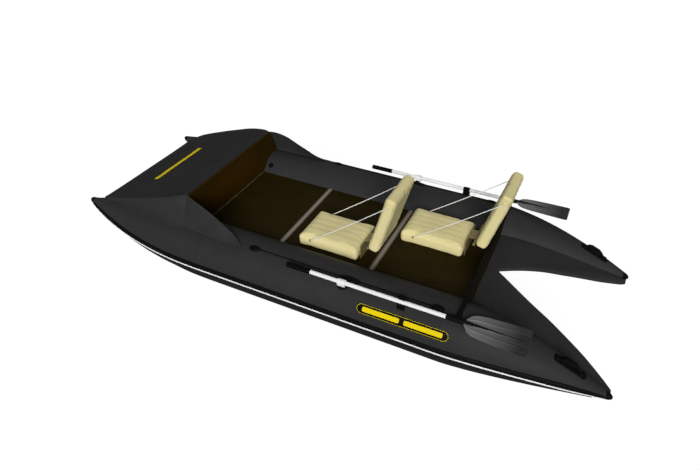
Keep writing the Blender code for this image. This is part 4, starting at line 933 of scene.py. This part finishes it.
def skin_patch(name, side, x_middle, deg_middle, length, width, lift, thickness, paint, corner=1.0, edge=None):
    """A rounded flat piece glued on the tube, following its curve. With edge, only a rim that wide."""
    bm = bmesh.new()

    def place(u, v, rise):
        x = x_middle + u
        radius = tube_radius(x) - SKIN_INSET
        return tube_point(x, deg_middle + math.degrees(v / radius), radius + rise, side)

    def rim(inset):
        half_u, half_v = length / 2 - inset, width / 2 - inset
        round_by = max(min(half_u, half_v) * corner, 0.0005)
        points = []
        for quarter, (su, sv) in enumerate(((1, 1), (-1, 1), (-1, -1), (1, -1))):
            for i in range(9):
                turn = math.pi / 2 * (quarter + i / 8)
                points.append((su * (half_u - round_by) + round_by * math.cos(turn),
                               sv * (half_v - round_by) + round_by * math.sin(turn)))
        full = []
        for (u0, v0), (u1, v1) in zip(points, points[1:] + points[:1]):
            pieces = max(1, int(math.hypot(u1 - u0, v1 - v0) / 0.012))
            for i in range(pieces):
                full.append((lerp(u0, u1, i / pieces), lerp(v0, v1, i / pieces)))
        return full

    outline = rim(0.0)
    if edge:
        shrink = [(u * (1 - 2 * edge / length), v * (1 - 2 * edge / width)) for u, v in outline]
        loops = [[(u, v, lift) for u, v in outline], [(u, v, lift + thickness) for u, v in outline],
                 [(u, v, lift + thickness) for u, v in shrink], [(u, v, lift) for u, v in shrink]]
        rows = [[bm.verts.new(place(*point)) for point in loop] for loop in loops]
        rows.append(rows[0])
    else:
        loops = [[(u, v, lift) for u, v in outline], [(u, v, lift + thickness * 0.7) for u, v in outline]]
        for scale in (0.985, 0.8, 0.6, 0.4, 0.2, 0.0):
            loops.append([(u * scale if corner < 1 else u, v * scale, lift + thickness) for u, v in outline])
        rows = [[bm.verts.new(place(*point)) for point in loop] for loop in loops]
        bm.faces.new(list(reversed(rows[0])))
    count = len(outline)
    for row, following in zip(rows, rows[1:]):
        for j in range(count):
            k = (j + 1) % count
            bm.faces.new((row[j], row[k], following[k], following[j]))
    bmesh.ops.remove_doubles(bm, verts=bm.verts, dist=0.000001)
    bmesh.ops.dissolve_degenerate(bm, edges=bm.edges, dist=0.000001)
    return finish_piece(name, bm, paint, 50.0)


BADGE_X = -0.7025
BADGE_DEG = 58.0
BADGE_LENGTH = 0.575
BADGE_WIDTH = 0.064


def make_badge(side_name, side):
    """Plain badge: a black plate with a yellow outline and two plain yellow bars."""
    skin_patch(side_name + "_badge_plate", side, BADGE_X, BADGE_DEG, BADGE_LENGTH, BADGE_WIDTH, 0.0003, 0.0010,
               BADGE)
    skin_patch(side_name + "_badge_outline", side, BADGE_X, BADGE_DEG, BADGE_LENGTH - 0.006, BADGE_WIDTH - 0.006,
               0.0014, 0.0004, YELLOW, edge=0.0018)
    for tag, offset in (("_badge_bar_front", 0.132), ("_badge_bar_rear", -0.132)):
        skin_patch(side_name + tag, side, BADGE_X + offset, BADGE_DEG, 0.235, 0.030, 0.0014, 0.0004, YELLOW,
                   corner=0.5)


def make_deck_strip():
    """Plain yellow strip across the deck, on a black backing."""
    for name, half_x, inset, lift, paint in (("deck_strip_backing", 0.030, 0.0, 0.0006, BADGE),
                                             ("deck_strip", 0.020, 0.012, 0.0014, YELLOW)):
        bm = bmesh.new()
        rows = []
        low, high = -0.325 + inset, 0.240 - inset
        for i in range(41):
            y = lerp(low, high, i / 40)
            row = []
            for shift, rise in ((-half_x, 0.0), (-half_x, lift), (0.0, lift), (half_x, lift), (half_x, 0.0)):
                x = 1.527 + shift
                width, edge, middle, bottom, seam_deg = deck_edge(x)
                row.append(bm.verts.new((x, y, deck_height(x, y, edge, middle, width) + rise + 0.0002)))
            rows.append(row)
        for row, following in zip(rows, rows[1:]):
            for j in range(5):
                k = (j + 1) % 5
                bm.faces.new((row[j], row[k], following[k], following[j]))
        bm.faces.new(rows[0])
        bm.faces.new(rows[-1])
        finish_piece(name, bm, paint, 50.0)


for side_name, side in SIDES:
    make_tube(side_name, side)
    make_keel(side_name, side)
    make_strake(side_name, side)
    make_gusset(side_name, side)
    make_rope(side_name, side)
    make_badge(side_name, side)
make_bow()
make_bow_tapes()
make_tail()
make_deck_strip()


# Seats: padded cushions swollen by a short cloth simulation, then channels sewn in

def pad_mesh(length, width, thickness, corner):
    """A boxed pad with rounded corners, in local coordinates: along, across and up from its base."""
    bm = bmesh.new()
    bmesh.ops.create_cube(bm, size=1.0)
    for vert in bm.verts:
        vert.co = Vector((vert.co.x * length, vert.co.y * width, (vert.co.z + 0.5) * thickness))
    bmesh.ops.bevel(bm, geom=list(bm.edges), offset=corner, segments=6, profile=0.5, affect="EDGES")
    return bm


def swollen(name, length, width, thickness, corner, cap):
    """The pad after its cover has been filled: remeshed, simulated under pressure and smoothed once."""
    bm = pad_mesh(length, width, thickness, corner)
    mesh = bpy.data.meshes.new(name)
    bm.to_mesh(mesh)
    bm.free()
    pad = bpy.data.objects.new(name, mesh)
    bpy.context.scene.collection.objects.link(pad)
    remesh = pad.modifiers.new("Remesh", "REMESH")
    remesh.mode = "VOXEL"
    remesh.voxel_size = 0.006
    fixed = bpy.data.meshes.new_from_object(pad.evaluated_get(bpy.context.evaluated_depsgraph_get()))
    pad.modifiers.clear()
    pad.data = fixed
    rest = [vert.co.copy() for vert in fixed.vertices]
    cloth = pad.modifiers.new("Cloth", "CLOTH")
    cloth.settings.quality = 6
    cloth.settings.mass = 0.3
    cloth.settings.tension_stiffness = 20
    cloth.settings.compression_stiffness = 20
    cloth.settings.bending_stiffness = 1.0
    cloth.settings.use_pressure = True
    cloth.settings.uniform_pressure_force = 4.0
    cloth.settings.effector_weights.gravity = 0.0
    cloth.point_cache.frame_start = 1
    cloth.point_cache.frame_end = 20
    for step in range(1, 21):
        bpy.context.scene.frame_set(step)
    result = pad.evaluated_get(bpy.context.evaluated_depsgraph_get()).to_mesh()
    moved = []
    for point, vert in zip(rest, result.vertices):
        shift = vert.co - point
        if shift.length > cap:
            shift = shift.normalized() * cap
        moved.append(point + shift)
    pad.evaluated_get(bpy.context.evaluated_depsgraph_get()).to_mesh_clear()
    pad.modifiers.clear()
    bpy.context.scene.frame_set(1)
    for vert, point in zip(fixed.vertices, moved):
        vert.co = point
    smooth = pad.modifiers.new("Smooth", "SUBSURF")
    smooth.levels = 1
    smooth.render_levels = 1
    final = bpy.data.meshes.new_from_object(pad.evaluated_get(bpy.context.evaluated_depsgraph_get()))
    bpy.data.objects.remove(pad)
    return final


def sewn(source, length, width, thickness, both_faces):
    """Press the channels and the side seam into a pad, and note them for the material: painted shade in the grooves
    and dents, and the stitches.
    """
    mesh = source.copy()
    channel = mesh.attributes.new("channel", "FLOAT", "POINT")
    stitch = mesh.attributes.new("stitch", "FLOAT", "POINT")
    lines = [width * (k / PUFFS - 0.5) for k in range(1, PUFFS)]
    top_z, low_z = thickness * 0.72, thickness * 0.28
    for index, vert in enumerate(mesh.vertices):
        a, b, c = vert.co
        u, v = a / (length / 2), b / (width / 2)
        b *= 1 - CUSHION_WAIST / (width / 2) * (1 - min(1.0, abs(u)) ** 2) * min(1.0, abs(v))
        # How much painted shade the channels and seam dents get at this point
        shade_weight = 0.0
        seam = 0.0
        facing = clamp((c - top_z) / (thickness * 0.12), 0.0, 1.0)
        below = clamp((low_z - c) / (thickness * 0.12), 0.0, 1.0) if both_faces else 0.0
        near = min(abs(b - line) for line in lines)
        groove = math.exp(-(near / CHANNEL_WIDTH) ** 2)
        crown = math.cos(math.pi * clamp(near / (width / PUFFS / 2), 0.0, 1.0)) * -0.0005
        fade = clamp((1 - abs(u)) / 0.06, 0.0, 1.0)
        for face, sign in ((facing, 1), (below, -1)):
            if face > 0:
                c += sign * face * fade * (crown - CHANNEL_DEPTH * groove)
                shade_weight = max(shade_weight, face * fade * groove)
                if near < 0.0008:
                    seam = max(seam, face * fade * (1.0 if math.sin(a / 0.006 * math.tau) > 0.1 else 0.0))
        edge = max(abs(u), abs(v) * 1.0)
        if edge > 0.9:
            for level in (0.80, 0.20):
                off = abs(c - thickness * level)
                dent = math.exp(-(off / 0.0028) ** 2) * clamp((edge - 0.95) / 0.03, 0.0, 1.0)
                if abs(u) > abs(v):
                    a -= math.copysign(0.0022 * dent, a)
                else:
                    b -= math.copysign(0.0022 * dent, b)
                shade_weight = max(shade_weight, dent * 0.9)
        if not both_faces:
            c -= EDGE_DROP * clamp(2 * c / thickness - 1, 0.0, 1.0) * min(1.0, edge) ** 5
            c = max(c, 0.0)
        vert.co = (a, b, c)
        channel.data[index].value = shade_weight
        stitch.data[index].value = seam
    return mesh


def pad_piece(name, mesh, place, body, node):
    """Stand a pad in its place, on its body, for its CAD solid."""
    mesh = mesh.copy()
    for vert in mesh.vertices:
        vert.co = place(*vert.co)
    zero = place(0, 0, 0)
    if (place(1, 0, 0) - zero).cross(place(0, 1, 0) - zero).dot(place(0, 0, 1) - zero) < 0:
        mesh.flip_normals()
    mesh.shade_smooth()
    mesh.materials.clear()
    mesh.materials.append(SEAT.material)
    piece = bpy.data.objects.new(name, mesh)
    bpy.context.scene.collection.objects.link(piece)
    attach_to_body(piece, body)
    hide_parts(node)
    return piece


def seam_half_width(length_share):
    """Half width of a cushion at its side seam, which pulls in between the corners."""
    return SEAT_WIDTH / 2 - CUSHION_WAIST * (1 - length_share ** 2)


STRAP_HALF_WIDTH = 0.0027
STRAP_HALF_THICKNESS = 0.0008


def disc(name, origin, axis, profile, paint, body):
    """A small turned piece: grommet or button."""
    axis = axis.normalized()
    across = axis.orthogonal().normalized()
    beside = axis.cross(across)
    rings = []
    for height, radius in profile:
        rings.append([origin + axis * height + (across * math.cos(math.tau * i / 20)
                                                + beside * math.sin(math.tau * i / 20)) * radius for i in range(20)])
    return finish_piece(name, loft(rings), paint, 40.0, body)


def make_strap(name, low, high, outward, body):
    """Flat narrow webbing from the cushion's side to the backrest's side, with its fittings."""
    rings = []
    count = 48
    run = (high - low).normalized()
    flat = run.cross(outward).normalized()
    for i in range(count + 1):
        share = i / count
        middle = low.lerp(high, share)
        middle.z -= STRAP_SAG * math.sin(math.pi * share)
        ring = []
        for across, out in ((-1, -0.6), (-0.9, -1), (0.9, -1), (1, -0.6), (1, 0.6), (0.9, 1), (-0.9, 1), (-1, 0.6)):
            ring.append(middle + flat * (across * STRAP_HALF_WIDTH) + outward * (out * STRAP_HALF_THICKNESS))
        rings.append(ring)
    strap = finish_piece(name, loft(rings), WEBBING, 60.0, None)
    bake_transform(strap)
    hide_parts(name.replace("_webbing", ""))
    back = -STRAP_HALF_THICKNESS
    disc(name.replace("_webbing", "_grommet"), low + outward * back, outward,
         ((-0.0006, 0.0085), (0.0, 0.0090), (0.0010, 0.0085), (0.0026, 0.0062), (0.0030, 0.0030)), HINGE, "hull")
    disc(name.replace("_webbing", "_button"), high + outward * back, outward,
         ((-0.0006, 0.0095), (0.0002, 0.0100), (0.0018, 0.0092), (0.0034, 0.0060), (0.0038, 0.0020)), SEAT, body)


def make_seats():
    """Both seats from one swollen cushion and one swollen backrest."""
    cap = 0.008
    inset = -0.001
    cushion = sewn(swollen("cushion_form", SEAT_LENGTH - inset, SEAT_WIDTH - inset, SEAT_THICKNESS - 0.004, 0.026,
                           cap), SEAT_LENGTH, SEAT_WIDTH, SEAT_THICKNESS, False)
    backrest = sewn(swollen("backrest_form", BACK_LENGTH - inset, SEAT_WIDTH - inset, BACK_THICKNESS - 0.004, 0.016,
                            cap), BACK_LENGTH, SEAT_WIDTH, BACK_THICKNESS, True)
    x_axis, y_axis, z_axis = Vector((1, 0, 0)), Vector((0, 1, 0)), Vector((0, 0, 1))
    lean = math.radians(BACK_LEAN_DEG)
    rise = Vector((-math.sin(lean), 0.0, math.cos(lean)))
    facing = Vector((math.cos(lean), 0.0, math.sin(lean)))
    for name, rear_x, middle_y in SEATS:
        cushion_z = FLOOR_HEIGHT + 0.0005
        origin = Vector((rear_x + SEAT_LENGTH / 2, middle_y, cushion_z))
        pad_piece(name + "_cushion", cushion, frame_point(origin, x_axis, y_axis, z_axis), "hull",
                  name + "_seat_cushion")
        axis = Vector((rear_x - HINGE_BACKSET, middle_y, cushion_z + SEAT_THICKNESS + HINGE_ABOVE_CUSHION))
        back_origin = (axis + rise * (HINGE_TO_BACK_END + BACK_LENGTH / 2)
                       - facing * (HINGE_TO_BACK_FACE + BACK_THICKNESS))
        pad_piece(name + "_back_pad", backrest, frame_point(back_origin, rise, y_axis, facing), name + "_back",
                  name + "_backrest")
        for strap_side, side in SIDES:
            low = origin + x_axis * (SEAT_LENGTH / 2 * STRAP_FRONT_SHARE) + z_axis * (SEAT_THICKNESS * STRAP_LOW_SHARE)
            low.y = middle_y + side * (seam_half_width(STRAP_FRONT_SHARE) + STRAP_OFFSET)
            high = back_origin + rise * (BACK_LENGTH / 2 * STRAP_BACK_SHARE) + facing * (BACK_THICKNESS / 2)
            high.y = middle_y + side * (seam_half_width(STRAP_BACK_SHARE) + STRAP_OFFSET)
            make_strap(name + "_seat_" + strap_side + "_strap_webbing", low, high, Vector((0.0, float(side), 0.0)),
                       name + "_back")


make_seats()


# Small fittings on the boards and tubes

def make_wall_foot():
    """Thin bright strip where the bow wall meets the floor."""
    rings = []
    for i in range(31):
        y = lerp(-0.372, 0.372, i / 30)
        rings.append([Vector((WALL_X - 0.0006 - a, y, FLOOR_HEIGHT + 0.0004 + b))
                      for a, b in ((0.0, 0.0), (0.0, 0.0030), (0.0008, 0.0033), (0.0016, 0.0024), (0.0024, 0.0008),
                                   (0.0025, 0.0))])
    finish_piece("wall_foot_strip", loft(rings), ALLOY_FRONT, 40.0)


def make_valve_fins(side_name, side):
    """A round knob on the valve's cap, and the ring round its foot."""
    origin = tube_point(0.895, -43.0, TUBE_RADIUS, side)
    axis = (origin - Vector((0.895, side * TUBE_Y, TUBE_Z))).normalized()
    disc(side_name + "_valve_ring", origin, axis,
         ((0.0044, 0.0195), (0.0050, 0.0204), (0.0060, 0.0200), (0.0062, 0.0178)), PLASTIC, "hull")
    disc(side_name + "_valve_knob", origin, axis,
         ((0.0122, 0.0080), (0.0160, 0.0078), (0.0175, 0.0066), (0.0178, 0.0030)), PLASTIC, "hull")


CAP_PROFILE = ((0.0132, 0.4523), (0.0134, 0.4556), (0.0124, 0.4584), (0.0095, 0.4600), (0.0040, 0.4607),
               (-0.0040, 0.4607), (-0.0095, 0.4600), (-0.0124, 0.4584), (-0.0134, 0.4556), (-0.0132, 0.4523))


def make_transom_cap():
    """Rubber edging pushed over the transom's top, rounded at both ends."""
    rings = []
    for i in range(49):
        y = lerp(-TRANSOM_CAP_HALF, TRANSOM_CAP_HALF, i / 48)
        ease = math.sqrt(clamp(1 - (clamp(abs(y) - TRANSOM_CAP_HALF + 0.012, 0.0, 0.012) / 0.012) ** 2, 0.04, 1.0))
        rings.append([Vector((TRANSOM_X + a * lerp(0.75, 1.0, ease), y, CAP_FOOT + (z - CAP_FOOT) * ease))
                      for a, z in CAP_PROFILE])
    piece = finish_piece("transom_edging", loft(rings), BLACK, 40.0)
    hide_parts("transom_cap")


def make_blade_spine(side_name, side):
    """Round black spine that carries the sleeve on down the blade."""
    turn = math.radians(BLADE_DEG)
    across = Vector((0.0, side * math.cos(turn), -math.sin(turn)))
    up = Vector((0.0, side * math.sin(turn), math.cos(turn)))
    rings = []
    for i in range(33):
        share = i / 32
        x = lerp(SPINE_FRONT_X, SPINE_REAR_X, share)
        half = lerp(0.0125, 0.0030, share ** 0.8)
        crown = lerp(0.0165, 0.0044, share ** 0.7)
        middle = Vector((x, side * OAR_Y, OAR_Z))
        rings.append([middle + across * (half * math.cos(math.pi * j / 10)) + up * (crown * math.sin(math.pi * j / 10))
                      for j in range(11)])
    finish_piece(side_name + "_blade_spine", loft(rings), PLASTIC, 50.0, side_name + "_oar")


def make_handle_pad(side_name, side):
    """Reinforcing pad that each carrying handle is bonded to."""
    skin_patch(side_name + "_handle_pad", side, HANDLE_X, 0.0, HANDLE_PAD_LENGTH, HANDLE_PAD_WIDTH, 0.0003, 0.0016,
               BLACK, corner=0.75)


make_wall_foot()
make_transom_cap()
for side_name, side in SIDES:
    make_valve_fins(side_name, side)
    make_blade_spine(side_name, side)
    make_handle_pad(side_name, side)


# Floor, sky and lights

def seen_factor(tree):
    """How far a ray shows the white backdrop: fully from the camera, dimly where metal or gloss mirrors it."""
    path = tree.nodes.new("ShaderNodeLightPath")
    total = path.outputs["Is Camera Ray"]
    for name, share in (("Is Glossy Ray", GLOSS_SHARE), ("Is Transmission Ray", 1.0)):
        dimmed = tree.nodes.new("ShaderNodeMath")
        dimmed.operation = "MULTIPLY"
        dimmed.inputs[1].default_value = share
        tree.links.new(path.outputs[name], dimmed.inputs[0])
        node = tree.nodes.new("ShaderNodeMath")
        node.operation = "MAXIMUM"
        tree.links.new(total, node.inputs[0])
        tree.links.new(dimmed.outputs[0], node.inputs[1])
        total = node.outputs[0]
    return total


def make_stage():
    """A pale floor that the camera sees as white, a wide soft key on the camera's side and a weaker fill across from it."""
    bm = bmesh.new()
    half = FLOOR_SIZE / 2
    bm.faces.new([bm.verts.new((x, y, -0.0005)) for x, y in ((-half, -half), (half, -half), (half, half), (-half, half))])
    mesh = bpy.data.meshes.new("floor")
    bm.to_mesh(mesh)
    bm.free()
    floor = bpy.data.objects.new("floor", mesh)
    bpy.context.scene.collection.objects.link(floor)
    material = bpy.data.materials.new("pale_floor")
    material.use_nodes = True
    tree = material.node_tree
    shader = tree.nodes["Principled BSDF"]
    shader.inputs["Base Color"].default_value = (FLOOR_TONE, FLOOR_TONE, FLOOR_TONE, 1.0)
    shader.inputs["Roughness"].default_value = 0.9
    shader.inputs["Specular IOR Level"].default_value = 0.0
    glow = tree.nodes.new("ShaderNodeEmission")
    glow.inputs["Strength"].default_value = FLOOR_GLOW
    dark = tree.nodes.new("ShaderNodeEmission")
    dark.inputs["Strength"].default_value = 0.0
    both = tree.nodes.new("ShaderNodeAddShader")
    mix = tree.nodes.new("ShaderNodeMixShader")
    tree.links.new(seen_factor(tree), mix.inputs["Fac"])
    tree.links.new(dark.outputs["Emission"], mix.inputs[1])
    tree.links.new(glow.outputs["Emission"], mix.inputs[2])
    tree.links.new(mix.outputs["Shader"], both.inputs[0])
    tree.links.new(shader.outputs["BSDF"], both.inputs[1])
    tree.links.new(both.outputs["Shader"], tree.nodes["Material Output"].inputs["Surface"])
    mesh.materials.append(material)

    world = bpy.data.worlds.new("sky")
    bpy.context.scene.world = world
    world.use_nodes = True
    sky = world.node_tree.nodes["Background"]
    sky.inputs["Color"].default_value = (1.0, 1.0, 1.0, 1.0)
    sky.inputs["Strength"].default_value = SKY_STRENGTH
    seen = world.node_tree.nodes.new("ShaderNodeBackground")
    seen.inputs["Color"].default_value = (1.0, 1.0, 1.0, 1.0)
    seen.inputs["Strength"].default_value = 1.0
    mix = world.node_tree.nodes.new("ShaderNodeMixShader")
    world.node_tree.links.new(seen_factor(world.node_tree), mix.inputs["Fac"])
    world.node_tree.links.new(sky.outputs["Background"], mix.inputs[1])
    world.node_tree.links.new(seen.outputs["Background"], mix.inputs[2])
    world.node_tree.links.new(mix.outputs["Shader"], world.node_tree.nodes["World Output"].inputs["Surface"])

    for name, place, softness, strength in (("key", KEY_FROM, KEY_SOFTNESS_DEG, KEY_STRENGTH),
                                            ("fill", FILL_FROM, FILL_SOFTNESS_DEG, FILL_STRENGTH)):
        light = bpy.data.lights.new(name, "SUN")
        light.energy = strength
        light.angle = math.radians(softness)
        lamp = bpy.data.objects.new(name, light)
        bpy.context.scene.collection.objects.link(lamp)
        lamp.location = Vector(place) * 8.0
        lamp.visible_glossy = name == "key"
        lamp.rotation_euler = (-Vector(place)).to_track_quat("-Z", "Y").to_euler()


make_stage()
